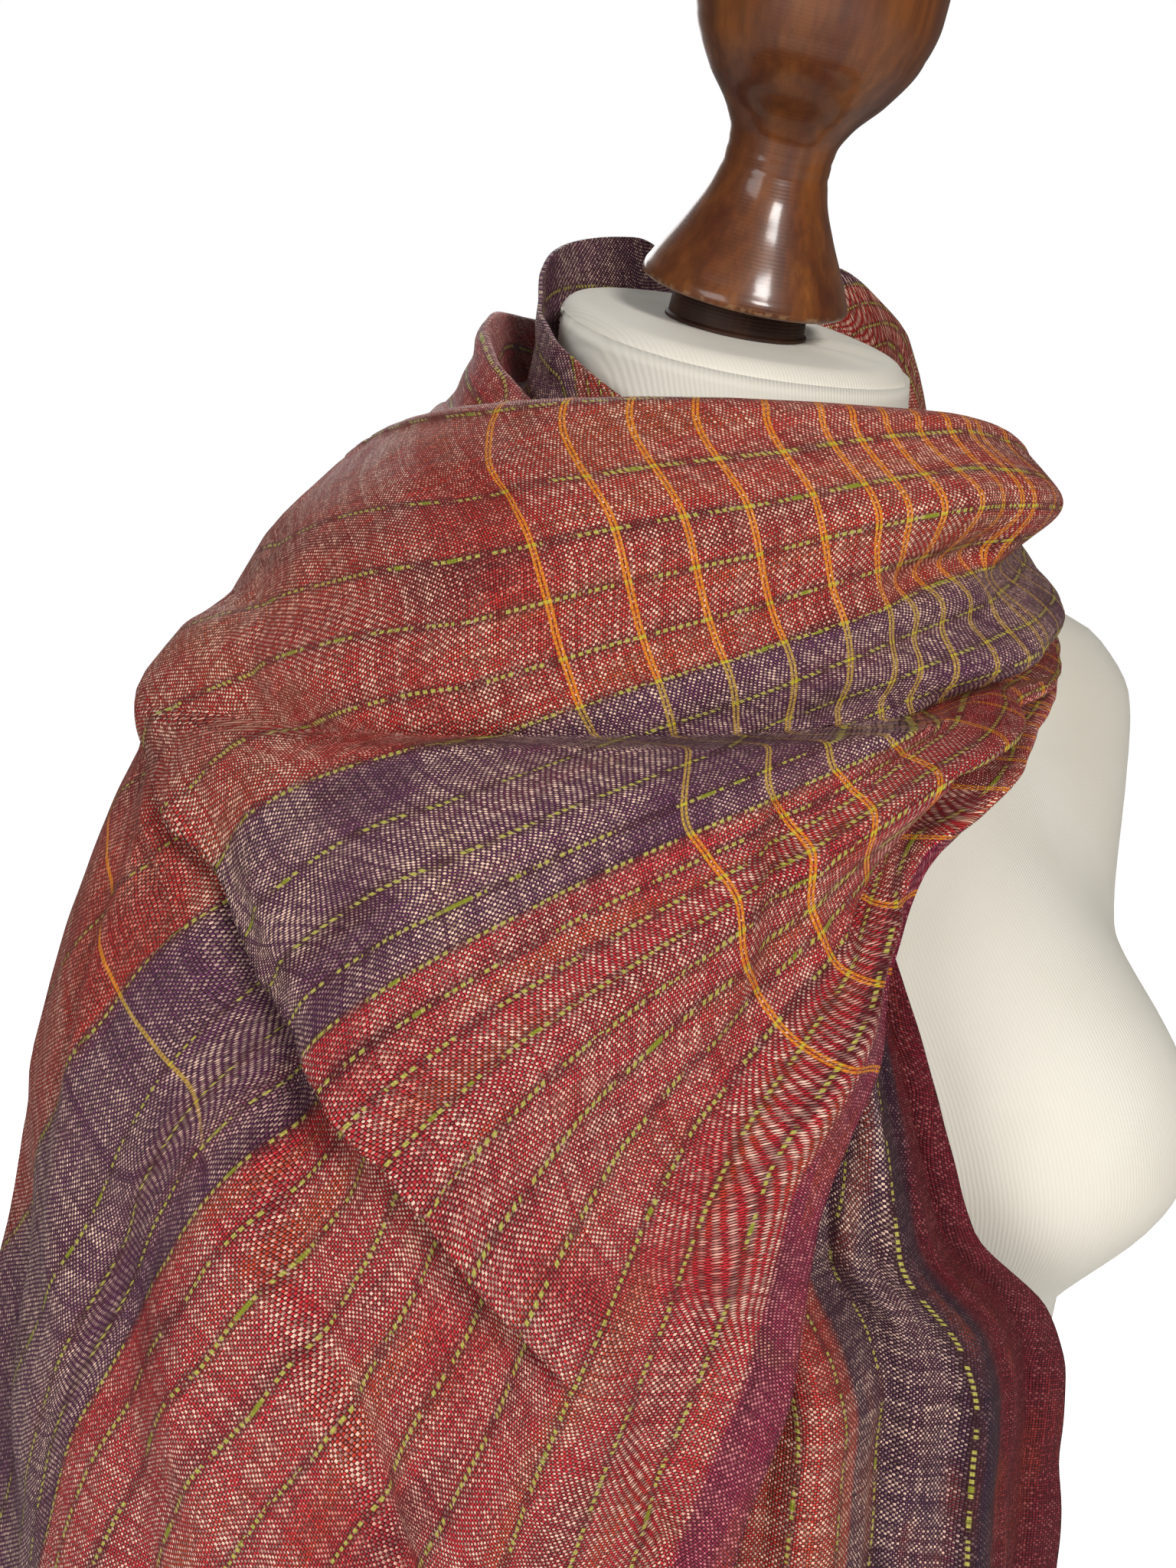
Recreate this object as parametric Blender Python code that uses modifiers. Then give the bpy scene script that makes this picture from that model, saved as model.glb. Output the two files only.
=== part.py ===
"""A hand-woven silk shawl wound once round the neck of a limbless dress form.

The shawl is one woven length.  Its first end hangs in front of the form, it passes up over the
form's right collar, round the back of the neck, forward over the left shoulder, then across the
chest and over the right shoulder, where the second end falls.  The form is a padded, jersey-covered
torso with a turned wooden finial on a neck block.

Frame: metres, +Z up, the form faces -Y, its left is +X.  The origin is the centre of the flat base.
Places on the form are given by an angle about the upright axis (0 is the front, positive towards
the form's left, degrees) and a height.
"""
import math

import bmesh
import bpy
import numpy as np
from mathutils import Vector
from mathutils.bvhtree import BVHTree

OBJECT_NAME = "silk_shawl_on_dress_form"

# Sizes of the dress form
NECK_PLATE_HEIGHT = 0.700
NECK_LEAN_START = 0.620
NECK_TILT = math.radians(22.0)
FINIAL_TILT = math.radians(26.0)
NECK_LEAN_FORWARD = 0.012
PLATE_EDGE_RADIUS = 0.007
SECTION_POWER = 2.3
BUST_ANGLE = 32.4
BUST_WIDTH = 25.0
BUST_ROUNDNESS = 1.25
BUST_HEIGHT = 0.439
BUST_FULLNESS = 0.052
BUST_RISE = 0.074
BUST_FALL = 0.050
BASE_CHAMFER = 0.006

# Height, half width, front depth, back depth of the torso's sections
FORM_SECTIONS = (
    (0.000, 0.168, 0.112, 0.122),
    (0.050, 0.172, 0.114, 0.128),
    (0.130, 0.160, 0.108, 0.112),
    (0.200, 0.136, 0.098, 0.088),
    (0.255, 0.122, 0.092, 0.078),
    (0.320, 0.130, 0.096, 0.086),
    (0.380, 0.140, 0.098, 0.096),
    (0.440, 0.150, 0.098, 0.106),
    (0.500, 0.161, 0.092, 0.108),
    (0.545, 0.174, 0.080, 0.102),
    (0.575, 0.181, 0.066, 0.090),
    (0.598, 0.166, 0.058, 0.079),
    (0.615, 0.127, 0.054, 0.070),
    (0.635, 0.083, 0.052, 0.062),
    (0.660, 0.0605, 0.052, 0.056),
    (0.700, 0.0560, 0.054, 0.055),
)

# Turned profile of the finial: height above the neck plate, radius
FINIAL_PROFILE = (
    (0.0115, 0.0260),
    (0.0115, 0.0335),
    (0.0128, 0.0345),
    (0.0150, 0.0342),
    (0.0230, 0.0300),
    (0.0340, 0.0238),
    (0.0450, 0.0188),
    (0.0530, 0.0172),
    (0.0590, 0.0174),
    (0.0660, 0.0205),
    (0.0760, 0.0288),
    (0.0880, 0.0358),
    (0.1010, 0.0386),
    (0.1130, 0.0382),
    (0.1250, 0.0338),
    (0.1350, 0.0255),
    (0.1415, 0.0150),
    (0.1440, 0.0070),
)
FINIAL_SIDES = 28
NECK_BLOCK_RADIUS = 0.0225
NECK_BLOCK_FLARE = 0.0015
TOUCH_GAP = 0.0003

# Sizes of the shawl
CLOTH_WIDTH = 0.560
CLOTH_WALL = 0.0015
LAYER_GAP = 0.0040
FORM_GAP = 0.0027

# The outer drape hangs on this envelope:
# height, half width on the form's right, half width on its left, front depth, back depth
CAPE_SECTIONS = (
    (0.000, 0.240, 0.200, 0.160, 0.165),
    (0.200, 0.248, 0.190, 0.157, 0.163),
    (0.380, 0.243, 0.170, 0.155, 0.152),
    (0.430, 0.232, 0.160, 0.155, 0.146),
    (0.470, 0.224, 0.152, 0.150, 0.141),
    (0.520, 0.208, 0.135, 0.136, 0.134),
    (0.560, 0.190, 0.112, 0.123, 0.127),
    (0.600, 0.166, 0.100, 0.114, 0.117),
    (0.630, 0.148, 0.094, 0.109, 0.107),
    (0.650, 0.127, 0.090, 0.106, 0.099),
    (0.672, 0.100, 0.084, 0.100, 0.090),
)

# Lines of the outer drape, by station along the cloth from the left shoulder to the fallen end.
# Each pair is angle and height: of the rolled top edge, of the purple band's two edges and of the
# lower selvedge.
DRAPE_STATIONS = (
    (84, 0.662, 80, 0.646, 74, 0.632, 66, 0.612),
    (52, 0.652, 42, 0.628, 35, 0.603, 25, 0.580),
    (12, 0.659, 4, 0.612, -4, 0.574, 2, 0.547),
    (-22, 0.659, -22, 0.596, -27, 0.554, -12, 0.492),
    (-50, 0.659, -44, 0.581, -45, 0.531, -20, 0.448),
    (-76, 0.659, -59, 0.564, -57, 0.504, -22, 0.408),
    (-101, 0.656, -68, 0.530, -63, 0.466, -27, 0.366),
    (-122, 0.640, -74, 0.460, -69, 0.415, -31, 0.310),
    (-138, 0.588, -79, 0.370, -74, 0.335, -35, 0.235),
    (-148, 0.480, -83, 0.270, -77, 0.235, -38, 0.145),
    (-154, 0.350, -86, 0.165, -80, 0.130, -40, 0.045),
)
DRAPE_LINES_ACROSS = (0.200, 0.370, 0.530, 1.000)
SPLIT_STATION = 6.0
ROLL_RADIUS = 0.007
# How far across the cloth the hidden selvedge returns behind the rolled top edge, by station
ROLL_RETURNS = (0.20, 0.08, 0.12, 0.16, 0.14, 0.10, 0.07, 0.05, 0.04, 0.04, 0.04)
ROLL_STEEP = 6.0

# Folds that run along the cloth on the outer drape: place across the cloth at the shoulder and at
# the far end, first and last station, height (negative for a hollow), half width across the cloth
DRAPE_FOLDS = (
    (0.270, 0.280, -1.0, 3.2, 0.016, 0.060),
    (0.385, 0.360, -1.0, 2.2, -0.024, 0.045),
    (0.480, 0.470, -1.0, 3.0, 0.014, 0.055),
    (0.610, 0.560, -1.0, 3.0, -0.018, 0.050),
    (0.720, 0.640, -1.0, 4.2, 0.011, 0.060),
    (0.860, 0.800, -0.5, 4.0, -0.012, 0.050),
    (0.950, 0.900, 0.5, 6.0, 0.009, 0.045),
)

# Hanging creases on the outer drape: angle and height of both ends, depth, half width
DRAPE_CREASES = (
    (-83, 0.575, -44, 0.400, 0.013, 0.016),
    (-61, 0.492, -50, 0.330, 0.009, 0.012),
    (-48, 0.446, -41, 0.300, 0.006, 0.009),
    (-33, 0.470, -36, 0.340, 0.006, 0.012),
    (-92, 0.470, -78, 0.220, 0.008, 0.016),
    (-106, 0.520, -98, 0.200, 0.012, 0.018),
    (-122, 0.560, -112, 0.180, 0.012, 0.018),
    (-136, 0.480, -130, 0.200, 0.010, 0.016),
    (-66, 0.300, -60, 0.080, 0.011, 0.016),
    (24, 0.587, -68, 0.565, 0.007, 0.006),
    (24, 0.566, -62, 0.546, -0.008, 0.015),
    (0, 0.560, -13, 0.495, 0.012, 0.009),
)

# The loop round the neck: angle along the loop, height of its top edge, radius of that edge
LOOP_PATH = (
    (-28, 0.646, 0.074),
    (-60, 0.674, 0.070),
    (-95, 0.700, 0.063),
    (-135, 0.731, 0.058),
    (-180, 0.744, 0.062),
    (-215, 0.746, 0.076),
    (-242, 0.737, 0.089),
    (-254, 0.718, 0.097),
    (-265, 0.694, 0.096),
    (-274, 0.674, 0.090),
)
# The strip turns the corner from the hanging end into the loop over this angle
LOOP_CORNER = 34.0
# Its section at five of those angles: place across the cloth, distance out from the top edge,
# drop below it
LOOP_SECTIONS = (
    (-28, ((0.0, 0.000, 0.000), (0.15, 0.003, 0.014), (0.30, 0.008, 0.026), (0.45, 0.013, 0.036),
           (0.60, 0.019, 0.044), (0.80, 0.026, 0.054), (1.0, 0.034, 0.066))),
    (-95, ((0.0, 0.000, 0.000), (0.15, 0.004, 0.030), (0.26, 0.010, 0.034), (0.36, 0.017, 0.014),
           (0.50, 0.028, 0.034), (0.75, 0.042, 0.054), (1.0, 0.056, 0.066))),
    (-180, ((0.0, 0.000, 0.000), (0.14, 0.004, 0.050), (0.26, 0.014, 0.056), (0.36, 0.022, 0.030),
            (0.48, 0.027, 0.066), (0.56, 0.037, 0.074), (0.66, 0.043, 0.056), (0.78, 0.047, 0.096),
            (0.86, 0.056, 0.104), (1.0, 0.058, 0.160))),
    (-240, ((0.0, -0.011, 0.046), (0.12, -0.006, 0.014), (0.20, 0.000, 0.000), (0.28, 0.008, 0.006),
            (0.42, 0.012, 0.030), (0.60, 0.024, 0.044), (0.78, 0.030, 0.070), (1.0, 0.050, 0.088))),
    (-274, ((0.0, -0.015, 0.022), (0.20, 0.000, 0.000), (0.38, 0.006, 0.010), (0.54, 0.000, 0.018),
            (0.70, 0.006, 0.026), (0.86, 0.002, 0.034), (1.0, 0.010, 0.040))),
)
# Share of the tail that bends into the loop, and of the loop that bends into the outer drape
TAIL_JOIN = 0.16
LOOP_JOIN = 0.08

# The end that hangs in front: height, angle of its visible selvedge, angle of the hidden one
TAIL_TOP_FALL = 0.045
TAIL_STATIONS = (
    (0.055, 17, -66),
    (0.200, 17, -66),
    (0.330, 16, -64),
    (0.385, 16, -61),
    (0.405, 13, -60),
    (0.436, 1, -58),
    (0.462, -2, -56),
    (0.504, -6, -56),
    (0.550, -12, -58),
    (0.590, -18, -60),
    (0.635, -26, -62),
)
# Its folds: place across the cloth, height, half width across the cloth
TAIL_FOLDS = (
    (0.060, -0.003, 0.05),
    (0.200, 0.009, 0.05),
    (0.320, -0.010, 0.05),
    (0.440, 0.007, 0.05),
    (0.570, -0.009, 0.06),
    (0.700, 0.006, 0.06),
    (0.850, -0.007, 0.07),
)


FORM_SIDES = 40
FORM_RING_HEIGHTS = (0.0, 0.025, 0.06, 0.10, 0.15, 0.20, 0.25, 0.30, 0.34, 0.37, 0.395, 0.42, 0.445,
                     0.47, 0.50, 0.53, 0.55, 0.565, 0.578, 0.59, 0.60, 0.61, 0.622, 0.635, 0.65,
                     0.67, 0.685, 0.70)
NECK_BLOCK_HEIGHT = 0.0096
# Where two stretches meet, each ends this far short of the seam
CORNER_GAP = 0.0012
SHOULDER_GAP = 0.0008
CREASE_GAP = 0.0004
SEAM_ROW = 0.0040
TAIL_LENGTH = 0.60
LOOP_LENGTH = 0.43
STATION_LENGTH = 0.073
RAY_REACH = 0.5
CLEAR_START = 1.2
# Rows of each stretch along the cloth
TAIL_ROWS = 21
LOOP_ROWS = 28
FRONT_ROWS = 25
BACK_ROWS = 15
ROLL_FADE_COLUMNS = 8.0
# Places across the cloth of the sheet's rows, closer where the top edge rolls
ACROSS_ROWS = (0.0, 0.06, 0.12, 0.150, 0.168, 0.184, 0.20, 0.220, 0.25, 0.28, 0.31, 0.34, 0.37, 0.40,
               0.43, 0.46, 0.49, 0.52, 0.56, 0.60, 0.64, 0.68, 0.72, 0.76, 0.80, 0.85, 0.90, 0.95,
               1.0)
SILK_COLOURS = (
    ("under_tail", (0.20, 0.03, 0.06)),
    ("neck_loop", (0.14, 0.05, 0.11)),
    ("front_drape", (0.36, 0.05, 0.06)),
    ("back_fall", (0.24, 0.06, 0.09)),
)


def along(places, values, x):
    """A smooth curve through a column of a table, with no overshoot between its rows."""
    places, values = np.asarray(places, float), np.asarray(values, float)
    x = np.clip(x, places[0], places[-1])
    step = np.diff(places)
    slope = np.diff(values) / step
    tangent = np.concatenate([slope[:1], np.zeros(len(places) - 2), slope[-1:]])
    for k in range(1, len(places) - 1):
        if slope[k - 1] * slope[k] > 0:
            tangent[k] = 2.0 / (1.0 / slope[k - 1] + 1.0 / slope[k])
    k = np.clip(np.searchsorted(places, x) - 1, 0, len(step) - 1)
    t = (x - places[k]) / step[k]
    return (values[k] * (2 * t ** 3 - 3 * t ** 2 + 1) + values[k + 1] * (3 * t ** 2 - 2 * t ** 3)
            + tangent[k] * step[k] * (t ** 3 - 2 * t ** 2 + t)
            + tangent[k + 1] * step[k] * (t ** 3 - t ** 2))


def column(table, index):
    """One named column of a table."""
    return [row[index] for row in table]


def ease(x):
    """A soft step from 0 to 1."""
    x = np.clip(x, 0.0, 1.0)
    return x * x * (3 - 2 * x)


def oval_radius(angle, half_width, depth):
    """Radius of a rounded section towards an angle in radians."""
    return (np.abs(np.sin(angle) / half_width) ** SECTION_POWER
            + np.abs(np.cos(angle) / depth) ** SECTION_POWER) ** (-1 / SECTION_POWER)


def form_radius(degrees, height):
    """Radius of the torso, bust included."""
    angle = np.radians(degrees)
    heights = column(FORM_SECTIONS, 0)
    half_width, front, back = (along(heights, column(FORM_SECTIONS, k), height) for k in (1, 2, 3))
    radius = oval_radius(angle, half_width, np.where(np.cos(angle) > 0, front, back))
    rise = height - BUST_HEIGHT
    spread = np.where(rise > 0, BUST_RISE, BUST_FALL)
    for side in (-1, 1):
        off = (degrees - side * BUST_ANGLE + 180) % 360 - 180
        reach = (off / BUST_WIDTH) ** 2 + (rise / spread) ** 2
        radius = radius + BUST_FULLNESS * np.exp(-reach ** BUST_ROUNDNESS)
    return radius


def place(degrees, radius, height):
    """A point from its angle, radius and height."""
    angle = np.radians(degrees)
    return np.stack(np.broadcast_arrays(radius * np.sin(angle), -radius * np.cos(angle),
                                        height), -1)


def lean(points):
    """The neck leans forward and its top tilts with it."""
    x, y, z = points[..., 0], points[..., 1], points[..., 2]
    share = ease((z - NECK_LEAN_START) / (NECK_PLATE_HEIGHT - NECK_LEAN_START))
    return np.stack([x, y - NECK_LEAN_FORWARD * share, z + share * math.tan(NECK_TILT) * y], -1)


def cape_radius(degrees, height):
    """Radius of the envelope that the outer drape hangs on."""
    angle = np.radians(degrees)
    heights = column(CAPE_SECTIONS, 0)
    right, left, front, back = (along(heights, column(CAPE_SECTIONS, k), height)
                                for k in (1, 2, 3, 4))
    side = 0.5 - 0.5 * np.tanh(np.sin(angle) / 0.35)
    half_width = left + (right - left) * side
    depth = back + (front - back) * (0.5 + 0.5 * np.tanh(np.cos(angle) / 0.25))
    return np.maximum(oval_radius(angle, half_width, depth), form_radius(degrees, height) + 0.012)


def trough(degrees, height, start, end, half_width):
    """Depth share of a crease that runs between two places on the drape."""
    reach = 0.20
    px, pz = np.radians(degrees) * reach, height
    ax, az = math.radians(start[0]) * reach, start[1]
    bx, bz = math.radians(end[0]) * reach, end[1]
    length = math.hypot(bx - ax, bz - az)
    t = ((px - ax) * (bx - ax) + (pz - az) * (bz - az)) / length ** 2
    off = ((px - ax) * (bz - az) - (pz - az) * (bx - ax)) / length
    fade = ease(t / 0.25) * ease((1.15 - t) / 0.4)
    return np.exp(-(off / half_width) ** 2) * fade


def drape_lines(station, across):
    """Angle and height on the outer drape of a place across the cloth."""
    index = np.arange(len(DRAPE_STATIONS))
    knots = DRAPE_LINES_ACROSS
    angles = [along(index, column(DRAPE_STATIONS, 2 * k), station) for k in range(4)]
    heights = [along(index, column(DRAPE_STATIONS, 2 * k + 1), station) for k in range(4)]
    across = np.clip(across, knots[0], 1.0)
    degrees, height = np.zeros_like(across + station), np.zeros_like(across + station)
    flat = np.broadcast_arrays(station, across, *angles, *heights)
    for spot in np.ndindex(degrees.shape):
        row = [float(item[spot]) for item in flat]
        degrees[spot] = along(knots, row[2:6], row[1])
        height[spot] = along(knots, row[6:10], row[1])
    return degrees, height


def drape_relief(station, across, degrees, height):
    """How far the outer drape stands off its envelope."""
    relief = 0.0
    last = len(DRAPE_STATIONS) - 1
    for start, end, first, final, size, half_width in DRAPE_FOLDS:
        centre = start + (end - start) * station / last
        taper = ease((final - station) / (final - max(first, 0.0)) * 1.2)
        taper = taper * ease((station - 0.5) / 1.1)
        relief = relief + size * taper * np.exp(-((across - centre) / half_width) ** 2)
    for a0, z0, a1, z1, depth, half_width in DRAPE_CREASES:
        relief = relief - depth * trough(degrees, height, (a0, z0), (a1, z1), half_width)
    return relief


def drape(station, across):
    """A point of the outer drape: the top rolls over inwards to the hidden selvedge."""
    station, across = np.broadcast_arrays(np.asarray(station, float), np.asarray(across, float))
    top = DRAPE_LINES_ACROSS[0]
    inside = np.clip(top - across, 0.0, top)
    turn = np.clip(inside * CLOTH_WIDTH / ROLL_RADIUS, 0.0, math.pi)
    hidden = np.maximum(inside - math.pi * ROLL_RADIUS / CLOTH_WIDTH, 0.0) / top
    hidden = hidden * along(np.arange(len(ROLL_RETURNS)), ROLL_RETURNS, station)
    seen = np.where(across < top, top + hidden, across)
    degrees, height = drape_lines(station, seen)
    radius = cape_radius(degrees, height) + drape_relief(station, seen, degrees, height)
    radius = radius - ROLL_RADIUS * (1 - np.cos(turn))
    level = 1.0 - ease((station - ROLL_STEEP) / 2.0)
    height = height + 0.6 * ROLL_RADIUS * np.sin(turn) * level
    return place(degrees, radius, height)


def joined(points, following, share, across, pace, reach):
    """Bend a stretch's last part so that it runs smoothly into the stretch that follows."""
    small = 0.02
    start = following(0.0 * share, across)
    onward = (following(0.0 * share + small, across) - start) / small
    target = start + onward * ((share - 1) * pace)[..., None]
    join = ease((share - 1 + reach) / reach)[..., None]
    return points + (target - points) * join


def loop(share, across):
    """A point of the loop round the neck, from the front over the right collar to the left."""
    share, across = np.broadcast_arrays(np.asarray(share, float), np.asarray(across, float))
    path_angles = [-row[0] for row in LOOP_PATH]
    start = path_angles[0] + LOOP_CORNER * across
    turn = start + (path_angles[-1] - start) * share
    top = along(path_angles, column(LOOP_PATH, 1), turn)
    inner = along(path_angles, column(LOOP_PATH, 2), turn)
    section_angles = [-row[0] for row in LOOP_SECTIONS]
    outs, drops = [], []
    for _, rows in LOOP_SECTIONS:
        outs.append(along(column(rows, 0), column(rows, 1), across))
        drops.append(along(column(rows, 0), column(rows, 2), across))
    out, drop = np.zeros_like(turn), np.zeros_like(turn)
    for spot in np.ndindex(turn.shape):
        out[spot] = along(section_angles, [item[spot] for item in outs], turn[spot])
        drop[spot] = along(section_angles, [item[spot] for item in drops], turn[spot])
    ring = place(-turn, inner + out, top - drop)
    return joined(ring, drape, share, across, LOOP_LENGTH / STATION_LENGTH, LOOP_JOIN)


def tail(share, across):
    """A point of the end that hangs in front, from its hem up to the loop."""
    share, across = np.broadcast_arrays(np.asarray(share, float), np.asarray(across, float))
    heights = column(TAIL_STATIONS, 0)
    height = heights[0] + (heights[-1] - TAIL_TOP_FALL * across - heights[0]) * share
    near = along(heights, column(TAIL_STATIONS, 1), height)
    far = along(heights, column(TAIL_STATIONS, 2), height)
    degrees = near + (far - near) * across
    folds = sum(size * np.exp(-((across - centre) / half) ** 2)
                for centre, size, half in TAIL_FOLDS)
    radius = cape_radius(degrees, height) - 0.010 + folds * ease(share * 4 + 0.5)
    radius = np.maximum(radius, form_radius(degrees, height) + FORM_GAP)
    hang = place(degrees, radius, height)
    return joined(hang, loop, share, across, TAIL_LENGTH / LOOP_LENGTH, TAIL_JOIN)


def clear_scene():
    """Empty the file's starting scene."""
    for item in list(bpy.data.objects):
        bpy.data.objects.remove(item, do_unlink=True)


def make_collection(name):
    """A collection for the object's parts."""
    collection = bpy.data.collections.new(name)
    bpy.context.scene.collection.children.link(collection)
    return collection


def make_material(name, colour, roughness, metallic=0.0):
    """A plain Principled material."""
    material = bpy.data.materials.new(name)
    material.use_nodes = True
    shader = material.node_tree.nodes["Principled BSDF"]
    shader.inputs["Base Color"].default_value = (*colour, 1.0)
    shader.inputs["Roughness"].default_value = roughness
    shader.inputs["Metallic"].default_value = metallic
    return material


def grid_object(name, points, material, collection, wrap=False):
    """An open sheet of quads through a grid of points, wrapped round its second side if asked."""
    mesh = bpy.data.meshes.new(name)
    sheet = bmesh.new()
    rows, columns = points.shape[:2]
    verts = [[sheet.verts.new(points[i, j]) for j in range(columns)] for i in range(rows)]
    for i in range(rows - 1):
        for j in range(columns if wrap else columns - 1):
            k = (j + 1) % columns
            sheet.faces.new((verts[i][j], verts[i][k], verts[i + 1][k], verts[i + 1][j]))
    sheet.to_mesh(mesh)
    sheet.free()
    mesh.materials.append(material)
    mesh.shade_smooth()
    item = bpy.data.objects.new(name, mesh)
    collection.objects.link(item)
    return item


def make_cloth(name, points, material, collection, flip=False):
    """A stretch of the shawl: the sheet given the cloth's wall, half to each side."""
    item = grid_object(name, points[:, ::-1] if flip else points, material, collection)
    wall = item.modifiers.new("Wall", "SOLIDIFY")
    wall.thickness = CLOTH_WALL
    wall.offset = 0.0
    return item


def make_torso(material, collection):
    """The torso: its sections from the base to the rounded rim of the neck plate, closed flat."""
    degrees = np.arange(FORM_SIDES) * 360.0 / FORM_SIDES
    rings = []
    for height in FORM_RING_HEIGHTS:
        radius = form_radius(degrees, height)
        if height == 0.0:
            rings.append(place(degrees, radius - BASE_CHAMFER, height))
            height = BASE_CHAMFER
        rings.append(lean(place(degrees, radius, height)))
    rim = rings[-1].copy()
    centre = rim.mean(axis=0)
    out = rim - centre
    normal = np.array((0.0, -math.sin(NECK_TILT), math.cos(NECK_TILT)))
    size = np.linalg.norm(out, axis=1, keepdims=True)
    rings.pop()
    for turn in np.radians((0.0, 30.0, 60.0, 90.0)):
        inset = PLATE_EDGE_RADIUS * (1 - math.cos(turn))
        sink = PLATE_EDGE_RADIUS * (1 - math.sin(turn))
        rings.append(centre + out * (1 - inset / size) - normal * sink)
    item = grid_object("form_torso", np.array(rings), material, collection, wrap=True)
    shell = bmesh.new()
    shell.from_mesh(item.data)
    bmesh.ops.holes_fill(shell, edges=[edge for edge in shell.edges if edge.is_boundary], sides=0)
    bmesh.ops.recalc_face_normals(shell, faces=shell.faces)
    shell.to_mesh(item.data)
    shell.free()
    item.data.shade_smooth()
    item.data.set_sharp_from_angle(angle=math.radians(50))
    return item, centre


def make_turned(name, profile, foot, tilt, material, collection):
    """A turned piece: its profile, top to bottom, spun round an axis that leans forward."""
    mesh = bpy.data.meshes.new(name)
    outline = bmesh.new()
    points = [(0.0, 0.0, profile[-1][0])]
    points += [(radius, 0.0, height) for height, radius in reversed(profile)]
    points.append((0.0, 0.0, profile[0][0]))
    verts = [outline.verts.new(point) for point in points]
    for upper, lower in zip(verts, verts[1:]):
        outline.edges.new((upper, lower))
    outline.to_mesh(mesh)
    outline.free()
    mesh.materials.append(material)
    item = bpy.data.objects.new(name, mesh)
    collection.objects.link(item)
    spin = item.modifiers.new("Turn", "SCREW")
    spin.steps = spin.render_steps = FINIAL_SIDES
    spin.use_merge_vertices = True
    spin.merge_threshold = 0.00001
    spin.use_smooth_shade = True
    item.location = foot
    item.rotation_euler = (tilt, 0.0, 0.0)
    return item


def layer_tree(item):
    """A search tree of an object's finished surface."""
    bpy.context.view_layer.update()
    graph = bpy.context.evaluated_depsgraph_get()
    mesh = item.evaluated_get(graph).to_mesh()
    points = [item.matrix_world @ vert.co for vert in mesh.vertices]
    return BVHTree.FromPolygons(points, [tuple(face.vertices) for face in mesh.polygons])


def clear_of(points, layers, gap, hidden_columns=0, share=1.0):
    """Move a sheet out from the upright axis until it clears the layers under it."""
    radius = np.hypot(points[..., 0], points[..., 1])
    outward = points * (1.0, 1.0, 0.0) / radius[..., None]
    push = np.zeros(radius.shape)
    for spot in np.ndindex(radius.shape):
        way = Vector(outward[spot])
        start = way * RAY_REACH + Vector((0.0, 0.0, points[spot][2]))
        for tree in layers:
            hit = tree.ray_cast(start, -way, RAY_REACH)[0]
            if hit is not None:
                push[spot] = max(push[spot], math.hypot(hit.x, hit.y) + gap - radius[spot])
    if hidden_columns:
        rolled = push[:, :hidden_columns].max(axis=1, keepdims=True)
        fade = ease(1.0 - (np.arange(radius.shape[1]) - hidden_columns) / ROLL_FADE_COLUMNS)
        push = np.maximum(push, rolled * fade)
    for filter_step in (np.max, np.max, np.mean):
        padded = np.pad(push, 1, mode="edge")
        window = [padded[i:i + push.shape[0], j:j + push.shape[1]]
                  for i in range(3) for j in range(3)]
        push = filter_step(window, axis=0)
    return points + outward * (push * share)[..., None]


def stretch_rows(start, end, count, length, gaps):
    """Places of a stretch's rows along the cloth, with a gap and a close row at each seam."""
    first, final = start + gaps[0] / length, end - gaps[1] / length
    beside = [place_along + side * SEAM_ROW / length
              for place_along, side, gap in ((first, 1, gaps[0]), (final, -1, gaps[1])) if gap]
    inner = np.linspace(first, final, count - len(beside))
    return np.sort(np.concatenate([inner, beside]))[:, None]


def main():
    """Build the dress form and the four stretches of the shawl."""
    clear_scene()
    parts = make_collection(OBJECT_NAME)
    jersey = make_material("jersey", (0.80, 0.77, 0.70), 0.9)
    varnish = make_material("varnished_wood", (0.13, 0.035, 0.010), 0.2)
    raw_wood = make_material("dark_wood", (0.07, 0.03, 0.015), 0.6)
    silks = {name: make_material("silk_" + name, colour, 0.45) for name, colour in SILK_COLOURS}

    torso, plate = make_torso(jersey, parts)
    block_profile = ((TOUCH_GAP, NECK_BLOCK_RADIUS + NECK_BLOCK_FLARE),
                     (NECK_BLOCK_HEIGHT, NECK_BLOCK_RADIUS))
    make_turned("neck_block", block_profile, plate, NECK_TILT, raw_wood, parts)
    make_turned("finial", FINIAL_PROFILE, plate, FINIAL_TILT, varnish, parts)

    across = np.array(ACROSS_ROWS)[None]
    last = len(DRAPE_STATIONS) - 1
    rolled = sum(place_across < DRAPE_LINES_ACROSS[0] for place_across in ACROSS_ROWS)
    layers = [layer_tree(torso)]

    def stretch(name, points):
        """One stretch of the shawl, added to the layers."""
        layers.append(layer_tree(make_cloth(name, points, silks[name], parts)))

    split = SPLIT_STATION
    hanging = stretch_rows(0.0, 1.0, TAIL_ROWS, TAIL_LENGTH, (0.0, CORNER_GAP))
    winding = stretch_rows(0.0, 1.0, LOOP_ROWS, LOOP_LENGTH, (CORNER_GAP, SHOULDER_GAP))
    falling = np.concatenate([
        stretch_rows(0.0, split, FRONT_ROWS, STATION_LENGTH, (SHOULDER_GAP, CREASE_GAP)),
        stretch_rows(split, last, BACK_ROWS, STATION_LENGTH, (CREASE_GAP, 0.0))])
    strip = np.concatenate([tail(hanging, across), loop(winding, across),
                            drape(falling, across)])
    strip = clear_of(strip, layers, FORM_GAP)
    under, ring, outer = np.split(strip, (TAIL_ROWS, TAIL_ROWS + LOOP_ROWS))
    stretch("under_tail", under)
    stretch("neck_loop", ring)
    outer = clear_of(outer, layers[1:], LAYER_GAP, rolled, ease(falling / CLEAR_START))
    stretch("front_drape", outer[:FRONT_ROWS])
    stretch("back_fall", outer[FRONT_ROWS:])


if __name__ == "__main__":
    main()
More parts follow.
